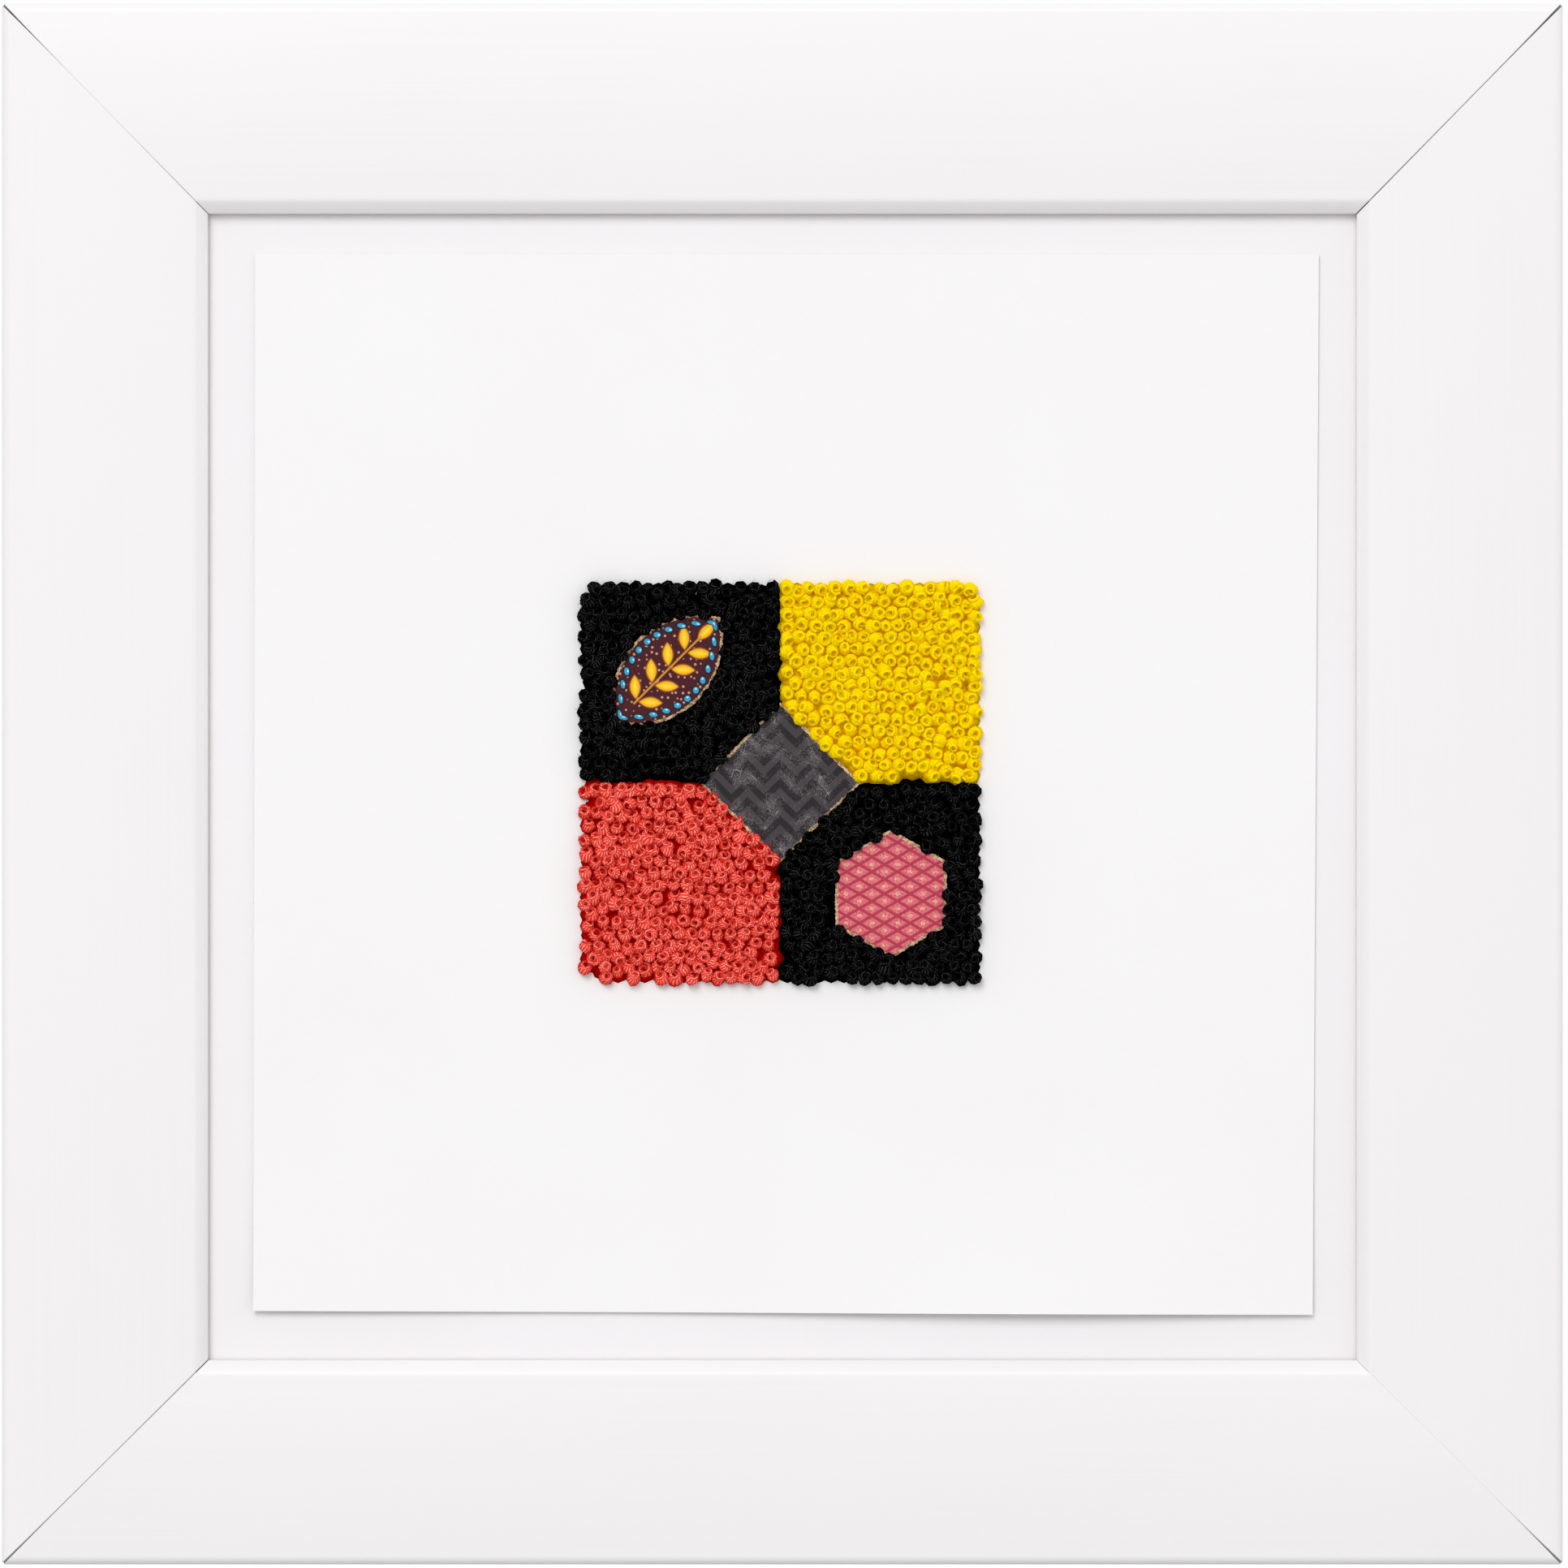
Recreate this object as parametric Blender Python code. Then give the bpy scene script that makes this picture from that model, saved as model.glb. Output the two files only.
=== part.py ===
"""Framed embroidered collage, hung on a wall.

A wide white frame of four mitred lengths holds a mount board. A square of heavy paper floats on
the board, and it carries four fields of knotted cotton with three pieces of printed card let in.

Metres, +Z up. The back of the frame lies in the plane Y = 0 and the work faces -Y. The origin is
the middle of the top length's back, where the frame hangs.
"""

import math
import random

import bmesh
import bpy
from mathutils import Matrix, Vector

# The frame, whose opening sits a little low in it
OUTER = 0.270
SIGHT_WIDTH = 0.1988
SIGHT_HEIGHT = 0.1984
SIGHT_DROP = 0.0005
RAIL_WIDTH = 0.0357  # of the moulding's drawn section
FRAME_DEPTH = 0.018
CROWN = 0.0006  # how far the face swells in its middle
OUTER_ROUND = 0.0016
BEVEL_WIDTH = 0.0021  # at the opening
BEVEL_DROP = 0.0017
SIGHT_ROUND = 0.0004
LIP_DEPTH = 0.0032  # from the face down to the rebate
REBATE_WIDTH = 0.0036
MITRE_GAP = 0.0003
OUTER_STEPS = 5  # sides of each curve in the section
CROWN_STEPS = 12
SIGHT_STEPS = 3

# What lies in the frame, each piece a clearance in front of the one behind it
CLEARANCE = 0.0003
BOARD_SIDE = 0.2032
BOARD_THICK = 0.0025
SHEET_THICK = 0.0010
CARD_THICK = 0.0010
KNOT_HEIGHT = 0.0022

# The paper's corners from the middle of the frame: it was cut and laid slightly out of square
SHEET_CORNERS = {
    "left_low": (-0.0916, -0.0912),
    "right_low": (0.0918, -0.0919),
    "left_high": (-0.0913, 0.0918),
    "right_high": (0.0929, 0.0917),
}
# Where the paper's lower edge stands off the board: place and reach across, height of the lift
WAVES = (
    {"at": -0.088, "reach": 0.036, "lift": 0.0006},
    {"at": 0.042, "reach": 0.041, "lift": 0.0015},
)
LOWER_EDGE_LIFT = 0.0001
LIFT_FADES_OVER = 0.034
RIGHT_EDGE_LIFT = 0.0004
RIGHT_FADES_OVER = 0.012
SHEET_COLUMNS = 26
SHEET_ROWS = 12

# The knotted work: two by two fields, each of KNOTS_PER_SIDE knots each way
FIELD_MIDDLE = (-0.0004, 0.0002)
FIELD_SIDE = 0.0350
KNOTS_PER_SIDE = 14
VALLEY_HEIGHT = 0.0014
EDGE_HEIGHT = 0.0013
EDGE_SCALLOP = 0.0004
PLACE_JITTER = 0.00022
HEIGHT_JITTER = 0.0003

# The cut-outs, placed from the middle of the knotted work
DIAMOND_HALF = 0.0140
LEAF_LENGTH = 0.0260
LEAF_WIDTH = 0.0150
LEAF_MIDDLE = (-0.0195, 0.0195)
LEAF_TURN = math.radians(-45)
LEAF_STEPS = 10
HEXAGON_RADIUS = 0.0112
HEXAGON_MIDDLE = (0.0192, -0.0192)

# Distances from the wall, worked out from the front back
REBATE_AT = FRAME_DEPTH - LIP_DEPTH
BOARD_FRONT = REBATE_AT - CLEARANCE
SHEET_BACK = BOARD_FRONT + CLEARANCE
KNOTS_BACK = SHEET_BACK + SHEET_THICK + CLEARANCE
SIGHT_TOP = SIGHT_HEIGHT / 2 - SIGHT_DROP
SIGHT_BOTTOM = SIGHT_TOP - SIGHT_HEIGHT
FRAME_MIDDLE_Z = -(OUTER / 2 + SIGHT_TOP) / 2

WHITE_LACQUER = ("white_lacquer", "F4F3F4", 0.42)
MOUNT_BOARD = ("mount_board", "F6F6F8", 0.95)
HEAVY_PAPER = ("heavy_paper", "F9F8F8", 0.9)
CORAL_COTTON = ("coral_cotton", "F05A4B", 0.85)
YELLOW_COTTON = ("yellow_cotton", "FDD800", 0.9)
BLACK_COTTON = ("black_cotton", "0C0C0E", 0.9)
MAROON_CARD = ("maroon_card", "541A22", 0.6)
PINK_CARD = ("pink_card", "D4606C", 0.7)
GREY_CARD = ("grey_card", "3A3538", 0.6)


def clear_scene():
    for thing in list(bpy.data.objects):
        bpy.data.objects.remove(thing)


def linear(hexa):
    """An sRGB hex colour as linear red, green, blue and alpha."""
    parts = [int(hexa[i : i + 2], 16) / 255 for i in (0, 2, 4)]
    return [p / 12.92 if p <= 0.04045 else ((p + 0.055) / 1.055) ** 2.4 for p in parts] + [1.0]


def material(name, hexa, roughness):
    made = bpy.data.materials.get(name) or bpy.data.materials.new(name)
    made.use_nodes = True
    shader = made.node_tree.nodes["Principled BSDF"]
    shader.inputs["Base Color"].default_value = linear(hexa)
    shader.inputs["Roughness"].default_value = roughness
    shader.inputs["Metallic"].default_value = 0.0
    return made


def add_object(name, mesh, finish):
    if not mesh.materials:
        mesh.materials.append(material(*finish))
    thing = bpy.data.objects.new(name, mesh)
    thing.location = (0, 0, FRAME_MIDDLE_Z)
    bpy.context.scene.collection.objects.link(thing)
    return thing


def mesh_from(name, points, faces):
    """A mesh from its points and faces, with the faces turned to point outwards."""
    mesh = bpy.data.meshes.new(name)
    mesh.from_pydata(points, [], faces)
    shaped = bmesh.new()
    shaped.from_mesh(mesh)
    bmesh.ops.recalc_face_normals(shaped, faces=shaped.faces)
    shaped.to_mesh(mesh)
    shaped.free()
    return mesh


def prism(name, outline, back, front):
    """A closed slab with that outline of (x, z) points, between two distances from the wall."""
    count = len(outline)
    points = [(x, -back, z) for x, z in outline] + [(x, -front, z) for x, z in outline]
    faces = [list(range(count)), list(range(2 * count - 1, count - 1, -1))]
    for i in range(count):
        after = (i + 1) % count
        faces.append([i, after, count + after, count + i])
    return mesh_from(name, points, faces)


def arc(centre, radius, start, end, steps):
    """Points of an arc, ends included, with angles in degrees."""
    made = []
    for i in range(steps + 1):
        angle = math.radians(start + (end - start) * i / steps)
        made.append((centre[0] + radius * math.cos(angle), centre[1] + radius * math.sin(angle)))
    return made


def moulding_profile():
    """The section of a length of moulding: (in from the outer edge, out from the wall)."""
    face_end = RAIL_WIDTH - BEVEL_WIDTH
    face_width = face_end - OUTER_ROUND
    crown_radius = (face_width**2 / 4 + CROWN**2) / (2 * CROWN)
    crown_half = math.degrees(math.asin(face_width / 2 / crown_radius))
    crown_centre = (OUTER_ROUND + face_width / 2, FRAME_DEPTH + CROWN - crown_radius)
    outer_centre = (OUTER_ROUND, FRAME_DEPTH - OUTER_ROUND)
    crown_ends = (90 + crown_half, 90 - crown_half)
    slope = math.atan(BEVEL_DROP / BEVEL_WIDTH)
    bevel_runs = BEVEL_WIDTH - SIGHT_ROUND * (1 - math.sin(slope))
    sight_depth = FRAME_DEPTH - bevel_runs * math.tan(slope) - SIGHT_ROUND * math.cos(slope)
    sight_centre = (RAIL_WIDTH - SIGHT_ROUND, sight_depth)
    profile = [(0.0, 0.0)]
    profile += arc(outer_centre, OUTER_ROUND, 180, 90, OUTER_STEPS)
    profile += arc(crown_centre, crown_radius, *crown_ends, CROWN_STEPS)[1:]
    profile += arc(sight_centre, SIGHT_ROUND, 90 - math.degrees(slope), 0, SIGHT_STEPS)
    profile += [
        (RAIL_WIDTH, REBATE_AT),
        (RAIL_WIDTH - REBATE_WIDTH, REBATE_AT),
        (RAIL_WIDTH - REBATE_WIDTH, 0.0),
    ]
    return profile


def rail_mesh(name, outer_ends, inner_ends):
    """A length of moulding between two mitres, each from an outer corner to an inner one."""
    profile = moulding_profile()
    count = len(profile)
    along = (outer_ends[1] - outer_ends[0]).normalized()
    clear = MITRE_GAP / math.sqrt(2)
    points = []
    for outer, inner, inward in zip(outer_ends, inner_ends, (along, -along)):
        for w, d in profile:
            place = outer.lerp(inner, w / RAIL_WIDTH) + inward * clear
            points.append((place.x, -d, place.y))
    faces = [list(range(count)), list(range(2 * count - 1, count - 1, -1))]
    for i in range(count):
        after = (i + 1) % count
        faces.append([i, after, count + after, count + i])
    return mesh_from(name, points, faces)


def add_frame():
    half = OUTER / 2
    half_sight = SIGHT_WIDTH / 2
    outer = [Vector(p) for p in ((-half, half), (half, half), (half, -half), (-half, -half))]
    inner = [
        Vector((-half_sight, SIGHT_TOP)),
        Vector((half_sight, SIGHT_TOP)),
        Vector((half_sight, SIGHT_BOTTOM)),
        Vector((-half_sight, SIGHT_BOTTOM)),
    ]
    for start, name in enumerate(("rail_top", "rail_right", "rail_bottom", "rail_left")):
        end = (start + 1) % 4
        mesh = rail_mesh(name, (outer[start], outer[end]), (inner[start], inner[end]))
        add_object(name, mesh, WHITE_LACQUER)


def add_board():
    half = BOARD_SIDE / 2
    low = -SIGHT_DROP - half
    high = -SIGHT_DROP + half
    outline = [(-half, low), (half, low), (half, high), (-half, high)]
    mesh = prism("mount_board", outline, BOARD_FRONT - BOARD_THICK, BOARD_FRONT)
    add_object("mount_board", mesh, MOUNT_BOARD)


def faded(distance, reach):
    """1 at no distance, easing to 0 at reach."""
    t = max(0.0, 1.0 - distance / reach)
    return t * t


def sheet_lift(x, from_bottom, from_right):
    """How far the paper stands off, at x from the middle and so far from two of its edges."""
    along = LOWER_EDGE_LIFT
    for wave in WAVES:
        along += wave["lift"] * math.exp(-(((x - wave["at"]) / wave["reach"]) ** 2))
    lower = along * faded(from_bottom, LIFT_FADES_OVER)
    right = RIGHT_EDGE_LIFT * faded(from_right, RIGHT_FADES_OVER)
    return max(lower, right)


def add_sheet():
    """The paper: a closed sheet with flat middle, waved along its lower edge."""
    low = [Vector(SHEET_CORNERS[key]) for key in ("left_low", "right_low")]
    high = [Vector(SHEET_CORNERS[key]) for key in ("left_high", "right_high")]
    height = (high[0] - low[0]).length
    width = (low[1] - low[0]).length
    backs = []
    fronts = []
    for j in range(SHEET_ROWS + 1):
        v = (j / SHEET_ROWS) ** 2  # rows crowd towards the lower edge, where the paper bends
        for i in range(SHEET_COLUMNS + 1):
            u = i / SHEET_COLUMNS
            place = low[0].lerp(low[1], u).lerp(high[0].lerp(high[1], u), v)
            lift = sheet_lift(place.x, v * height, (1 - u) * width)
            backs.append((place.x, -(SHEET_BACK + lift), place.y))
            fronts.append((place.x, -(SHEET_BACK + SHEET_THICK + lift), place.y))
    across = SHEET_COLUMNS + 1
    front = len(backs)
    faces = []
    for j in range(SHEET_ROWS):
        for i in range(SHEET_COLUMNS):
            cell = [j * across + i, j * across + i + 1, (j + 1) * across + i + 1, (j + 1) * across + i]
            faces.append(cell)
            faces.append([front + k for k in reversed(cell)])
    rim = [i for i in range(across)]
    rim += [j * across + SHEET_COLUMNS for j in range(1, SHEET_ROWS + 1)]
    rim += [SHEET_ROWS * across + i for i in range(SHEET_COLUMNS - 1, -1, -1)]
    rim += [j * across for j in range(SHEET_ROWS - 1, 0, -1)]
    for k, here in enumerate(rim):
        after = rim[(k + 1) % len(rim)]
        faces.append([here, after, front + after, front + here])
    add_object("paper_sheet", mesh_from("paper_sheet", backs + fronts, faces), HEAVY_PAPER)


def turned(outline, middle, turn):
    """An outline about its own middle, turned and moved into the knotted work."""
    spin = Matrix.Rotation(turn, 2)
    at = Vector(middle) + Vector(FIELD_MIDDLE)
    return [tuple(spin @ Vector(p) + at) for p in outline]


def diamond_outline(grow=0.0):
    half = DIAMOND_HALF + grow * math.sqrt(2)
    return turned([(half, 0), (0, half), (-half, 0), (0, -half)], (0, 0), 0)


def leaf_outline(grow=0.0):
    """A pointed oval, upright before it is turned: two arcs that meet at the tips."""
    half_width = LEAF_WIDTH / 2
    half_length = LEAF_LENGTH / 2
    radius = (half_length**2 + half_width**2) / (2 * half_width)
    offset = radius - half_width
    grown = radius + grow
    sweep = math.degrees(math.acos(offset / grown))
    right = arc((-offset, 0), grown, -sweep, sweep, LEAF_STEPS)
    left = [(-x, -z) for x, z in right]
    return turned(right[:-1] + left[:-1], LEAF_MIDDLE, LEAF_TURN)


def hexagon_outline(grow=0.0):
    radius = HEXAGON_RADIUS + grow / math.cos(math.pi / 6)
    return turned(arc((0, 0), radius, 30, 330, 5), HEXAGON_MIDDLE, 0)


def add_cards():
    front = KNOTS_BACK + CARD_THICK
    for name, outline, finish in (
        ("card_diamond", diamond_outline(), GREY_CARD),
        ("card_leaf", leaf_outline(), MAROON_CARD),
        ("card_lattice", hexagon_outline(), PINK_CARD),
    ):
        add_object(name, prism(name, outline, KNOTS_BACK, front), finish)


def field_mesh(name, left, bottom, seed):
    """A square field of knots: a slab whose face has a bump for each knot, scalloped at its rim."""
    chance = random.Random(seed)
    count = KNOTS_PER_SIDE
    side = FIELD_SIDE - CLEARANCE
    pitch = side / count
    valleys = {}
    points = []

    def add_point(x, height, z):
        points.append((left + x, -(KNOTS_BACK + height), bottom + z))
        return len(points) - 1

    for j in range(count + 1):
        for i in range(count + 1):
            x = min(max(i * pitch, EDGE_SCALLOP), side - EDGE_SCALLOP)
            z = min(max(j * pitch, EDGE_SCALLOP), side - EDGE_SCALLOP)
            rim = i in (0, count) or j in (0, count)
            height = EDGE_HEIGHT if rim else VALLEY_HEIGHT
            valleys[i, j] = add_point(x, height, z)
    lobes = {}
    for k in range(count):
        middle = (k + 0.5) * pitch
        lobes["low", k] = add_point(middle, EDGE_HEIGHT, 0)
        lobes["high", k] = add_point(middle, EDGE_HEIGHT, side)
        lobes["left", k] = add_point(0, EDGE_HEIGHT, middle)
        lobes["right", k] = add_point(side, EDGE_HEIGHT, middle)
    faces = []
    for j in range(count):
        for i in range(count):
            x = (i + 0.5) * pitch + chance.uniform(-PLACE_JITTER, PLACE_JITTER)
            z = (j + 0.5) * pitch + chance.uniform(-PLACE_JITTER, PLACE_JITTER)
            top = add_point(x, KNOT_HEIGHT - chance.uniform(0, HEIGHT_JITTER), z)
            round_it = [valleys[i, j]]
            if j == 0:
                round_it.append(lobes["low", i])
            round_it.append(valleys[i + 1, j])
            if i == count - 1:
                round_it.append(lobes["right", j])
            round_it.append(valleys[i + 1, j + 1])
            if j == count - 1:
                round_it.append(lobes["high", i])
            round_it.append(valleys[i, j + 1])
            if i == 0:
                round_it.append(lobes["left", j])
            for k, here in enumerate(round_it):
                faces.append([here, round_it[(k + 1) % len(round_it)], top])
    rim = []
    for k in range(count):
        rim += [valleys[k, 0], lobes["low", k]]
    for k in range(count):
        rim += [valleys[count, k], lobes["right", k]]
    for k in range(count - 1, -1, -1):
        rim += [valleys[k + 1, count], lobes["high", k]]
    for k in range(count - 1, -1, -1):
        rim += [valleys[0, k + 1], lobes["left", k]]
    base = []
    for here in rim:
        x, _, z = points[here]
        points.append((x, -KNOTS_BACK, z))
        base.append(len(points) - 1)
    for k, here in enumerate(rim):
        after = (k + 1) % len(rim)
        faces.append([here, rim[after], base[after], base[k]])
    faces.append(base)
    return mesh_from(name, points, faces)


def add_cutter(name, outline):
    """A guide that cuts a window for a card through a field of knots."""
    mesh = prism(name, outline, KNOTS_BACK - CLEARANCE, KNOTS_BACK + KNOT_HEIGHT + CLEARANCE)
    cutter = add_object(name, mesh, GREY_CARD)
    cutter.hide_render = True
    cutter.display_type = "WIRE"
    return cutter


def add_fields():
    windows = {
        "diamond": add_cutter("window_diamond", diamond_outline(CLEARANCE)),
        "leaf": add_cutter("window_leaf", leaf_outline(CLEARANCE)),
        "hexagon": add_cutter("window_hexagon", hexagon_outline(CLEARANCE)),
    }
    seam = CLEARANCE / 2
    left = FIELD_MIDDLE[0] - FIELD_SIDE
    right = FIELD_MIDDLE[0] + seam
    low = FIELD_MIDDLE[1] - FIELD_SIDE
    high = FIELD_MIDDLE[1] + seam
    for seed, (name, x, z, finish, cuts) in enumerate(
        (
            ("knots_black_upper", left + seam, high, BLACK_COTTON, ("diamond", "leaf")),
            ("knots_yellow", right, high, YELLOW_COTTON, ("diamond",)),
            ("knots_coral", left + seam, low + seam, CORAL_COTTON, ("diamond",)),
            ("knots_black_lower", right, low + seam, BLACK_COTTON, ("diamond", "hexagon")),
        )
    ):
        field = add_object(name, field_mesh(name, x, z, seed), finish)
        for cut in cuts:
            window = field.modifiers.new(cut, "BOOLEAN")
            window.operation = "DIFFERENCE"
            window.solver = "EXACT"
            window.object = windows[cut]


def main():
    clear_scene()
    add_frame()
    add_board()
    add_sheet()
    add_cards()
    add_fields()


main()
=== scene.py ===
"""Looks of the framed embroidered collage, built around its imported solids.

Metres, +Z up. The back of the frame lies in the plane Y = 0 and the work faces -Y. Distances
called deep or front are measured from that plane towards the viewer.
"""

import math
import random
from functools import partial

import bmesh
import bpy
import numpy as np
from mathutils import Matrix, Vector


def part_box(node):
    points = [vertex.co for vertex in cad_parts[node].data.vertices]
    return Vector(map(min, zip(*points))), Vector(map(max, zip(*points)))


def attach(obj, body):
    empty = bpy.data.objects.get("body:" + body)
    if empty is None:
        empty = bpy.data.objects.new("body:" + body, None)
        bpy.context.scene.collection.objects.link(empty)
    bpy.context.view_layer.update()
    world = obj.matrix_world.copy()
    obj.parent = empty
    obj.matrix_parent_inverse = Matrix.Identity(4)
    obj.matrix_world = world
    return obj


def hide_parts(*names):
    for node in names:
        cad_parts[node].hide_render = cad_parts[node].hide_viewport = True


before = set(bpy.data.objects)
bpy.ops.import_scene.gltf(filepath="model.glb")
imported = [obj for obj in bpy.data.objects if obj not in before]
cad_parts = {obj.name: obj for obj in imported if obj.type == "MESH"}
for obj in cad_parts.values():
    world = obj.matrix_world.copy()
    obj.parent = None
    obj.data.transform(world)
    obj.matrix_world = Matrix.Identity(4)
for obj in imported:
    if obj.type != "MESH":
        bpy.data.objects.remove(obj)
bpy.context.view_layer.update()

# The moulding's section, as in the solids
OUTER_ROUND = 0.0016
BEVEL_WIDTH = 0.0021  # at the opening
BEVEL_DROP = 0.0017
BEVEL_EASE = 0.0016  # radius where the face turns into the bevel
SIGHT_ROUND = 0.0004
CROWN = 0.0006  # how far the middle of the face stands above its edges
LIP_DEPTH = 0.0032
REBATE_WIDTH = 0.0036
RAIL_WIDTH = 0.0357
OUTER_STEPS = 12
CROWN_STEPS = 24
EASE_STEPS = 4
SIGHT_STEPS = 6
MOULDING_SHARP = math.radians(20)
BARE_SIDES = 3  # the section's last sides, in the rebate and at the back, have no lacquer

# The mitres: each has opened a little, by its own amount at the outer edge, midway and inside
MITRES = {
    "top_left": (0.00040, 0.00002, 0.00011),
    "top_right": (0.00044, 0.00013, 0.00018),
    "bottom_right": (0.00042, 0.00002, 0.00003),
    "bottom_left": (0.00036, 0.00012, 0.00016),
}
GROOVE_DEPTH = 0.00036  # below it the two lengths all but touch
JOINT_TOUCH = 0.00002
ARRIS = 0.00005

# The paper: its corners from the middle of the frame, its lifted edge as in the solids
SHEET_CORNERS = {
    "left_low": (-0.0916, -0.0912),
    "right_low": (0.0918, -0.0919),
    "left_high": (-0.0913, 0.0918),
    "right_high": (0.0929, 0.0917),
}
WAVES = (
    {"at": -0.088, "reach": 0.036, "lift": 0.0006},
    {"at": 0.042, "reach": 0.041, "lift": 0.0015},
)
LOWER_EDGE_LIFT = 0.0001
LIFT_FADES_OVER = 0.034
PAPER_STANDS_OFF = 0.00066  # its face above the board, where it lies flat
SHEET_THICK = 0.0005
SHEET_COLUMNS = 90
SHEET_ROWS = 40
ROWS_CROWD = 1.8  # a power: above 1 the rows lie closer where the paper waves
PAPER_SHARP = math.radians(40)

# The knotted work: two by two fields, whose knots start in rows and push each other apart
FIELD_MIDDLE = (-0.0004, 0.0002)
FIELD_SIDE = 0.0350
KNOT_PITCH = 0.00234
KNOT_SPACING = 0.00246  # nearer than this, neighbours push each other apart
FIRST_KNOT = 0.25  # of a row, from the field's side, as a share of the pitch
FIRST_ROW = 0.4  # from the field's lower edge, as a share of the rows' pitch
PLACE_JITTER = 0.42  # of the pitch
EDGE_MARGIN = 0.00128  # from a knot's middle to the edge of its field
WINDOW_MARGIN = 0.00045  # the same at a card, whose rim the knots lap
KEPT_FROM = 0.3  # a knot that starts nearer an edge than this share of its margin is left out
RELAX_ROUNDS = 9
EDGE_ROUNDS = 2
PUSH_SHARE = 0.25  # of what two neighbours lack, in one round
FOOT_REACH = 0.0026  # how far thread spreads on the paper round a knot
FOOT_LEAST = 0.00045
FOOT_INSET = 0.0003  # how far inside the work's edge it stays
FOOT_OVERLAP = 0.0010  # how far it goes under the next field
FOOT_UNDER_CARD = 0.0022

# Each field: its place in the work, the cards let into it, and the way its knots lean
FIELDS = {
    "black_upper": {"cotton": "black", "at": (-1, 1), "cuts": ("diamond", "leaf"), "lean": (0, 0.4)},
    "yellow": {"cotton": "yellow", "at": (1, 1), "cuts": ("diamond",), "lean": (0.2, -0.2)},
    "coral": {"cotton": "coral", "at": (-1, -1), "cuts": ("diamond",), "lean": (0.05, 0.65)},
    "black_lower": {"cotton": "black", "at": (1, -1), "cuts": ("diamond", "hexagon"), "lean": (0, 0.3)},
}
FIRST_SEED = 11
KNOT_TIP = 0.34  # how unevenly the knots lean
FALLEN_SHARE = 0.14  # of the knots, which lie over much further
FALLEN_TIP = 0.9
KNOT_STANDS_OFF = (0.0007, 0.0012)  # its middle, from the paper
KNOT_WIDTH = {"coral": 1.0, "yellow": 1.04, "black": 1.02}
SIZE_VARIES = (0.92, 1.08)
LENGTH_VARIES = (0.88, 1.1)
HEIGHT_VARIES = (0.8, 1.15)

# Each form of knot: how often its last wrap goes round and how wide that is at its two ends, and
# in millimetres the radius of the knot's shoulder and belly and how far its rim stands up
KNOT_FORMS = (
    {"turns": 1.25, "ends": (0.00084, 0.00066), "shoulder": 1.06, "belly": 1.26, "rim": 0.70},
    {"turns": 1.10, "ends": (0.00092, 0.00076), "shoulder": 1.12, "belly": 1.30, "rim": 0.62},
    {"turns": 1.40, "ends": (0.00074, 0.00072), "shoulder": 1.00, "belly": 1.22, "rim": 0.80},
    {"turns": 1.20, "ends": (0.00096, 0.00068), "shoulder": 1.16, "belly": 1.32, "rim": 0.56},
    {"turns": 1.55, "ends": (0.00080, 0.00058), "shoulder": 1.02, "belly": 1.28, "rim": 0.72},
    {"turns": 1.15, "ends": (0.00070, 0.00086), "shoulder": 1.10, "belly": 1.24, "rim": 0.76},
)

# The side of a knot's body at even steps, from the bottom of its hole over the rim down to the
# paper: the radius, as a share of one of the form's, and the height in millimetres, from the rim
# or from the knot's middle
KNOT_SIDE = (
    ("shoulder", 0.0, "rim", -0.75),
    ("shoulder", 0.55, "rim", -0.15),
    ("shoulder", 1.0, "rim", -0.22),
    ("belly", 1.0, "rim", -0.7),
    ("belly", 1.0, None, -0.4),
    ("belly", 0.8, None, -0.9),
    ("belly", 0.0, None, -1.0),
)
MILLIMETRE = 0.001
KNOT_SEGMENTS = 8
KNOT_RINGS = 6
KNOT_WRAP = 0.10  # how far the wraps swell the knot, as a share of its radius
WRAP_CLIMB = 6.0  # radians for each millimetre that a wrap climbs
KNOT_RUN = 0.0018  # length of a strand from the hole over the shoulder to the paper
COIL_STEPS = 8  # for one turn
COIL_RISE = 0.00022
THREAD_SIDES = 5
DIVE_FROM = 0.72  # share of the thread after which its end goes down into the hole
DIVE_IN = 0.35  # how near the middle it goes down
DIVE_DEPTH = 0.0008
KNOT_WANDER = 0.00042  # how far noise moves a point of the knot
KNOT_UNEVEN = 0.9  # how fast that noise changes over a ball of radius 1
WRAP_WANDER = KNOT_WANDER * 0.7
WRAP_UNEVEN = 0.002  # size of the noise along the last wrap
FORMS_APART = 3.7  # in the noise's fourth direction
FOOT_SIDES = 8
FOOT_TOP = 0.35
UPRIGHT = (math.radians(90), 0.0, 0.0)  # turns what stands on +Z to stand out from the wall

# A stray fibre: the start, bow and end of its arc, from the knot's middle
FIBRE_ARC = ((-0.0009, 0.0002, 0.0005), (0.0003, 0.0012, 0.0017), (0.0016, 0.0006, 0.0002))
FIBRE_STEPS = 4
FIBRE_SIDES = 3

# The tree's inputs. The thread is as pressed in the knot, and the stray fibre is drawn coarser
# than cotton fibre is, so that it shows
KNOT_SIZES = {
    "Thread Width": 0.00052,
    "Thread Height": 0.00062,
    "Foot Height": 0.0006,
    "Fibre Width": 0.00005,
}

# What each knot's point carries: the kind of attribute and the field that holds its values
CARRIED = {
    "lift": ("FLOAT_VECTOR", "vector"),
    "turn": ("FLOAT_VECTOR", "vector"),
    "size": ("FLOAT_VECTOR", "vector"),
    "form": ("INT", "value"),
    "tone": ("FLOAT", "value"),
    "foot": ("FLOAT", "value"),
}

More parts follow.
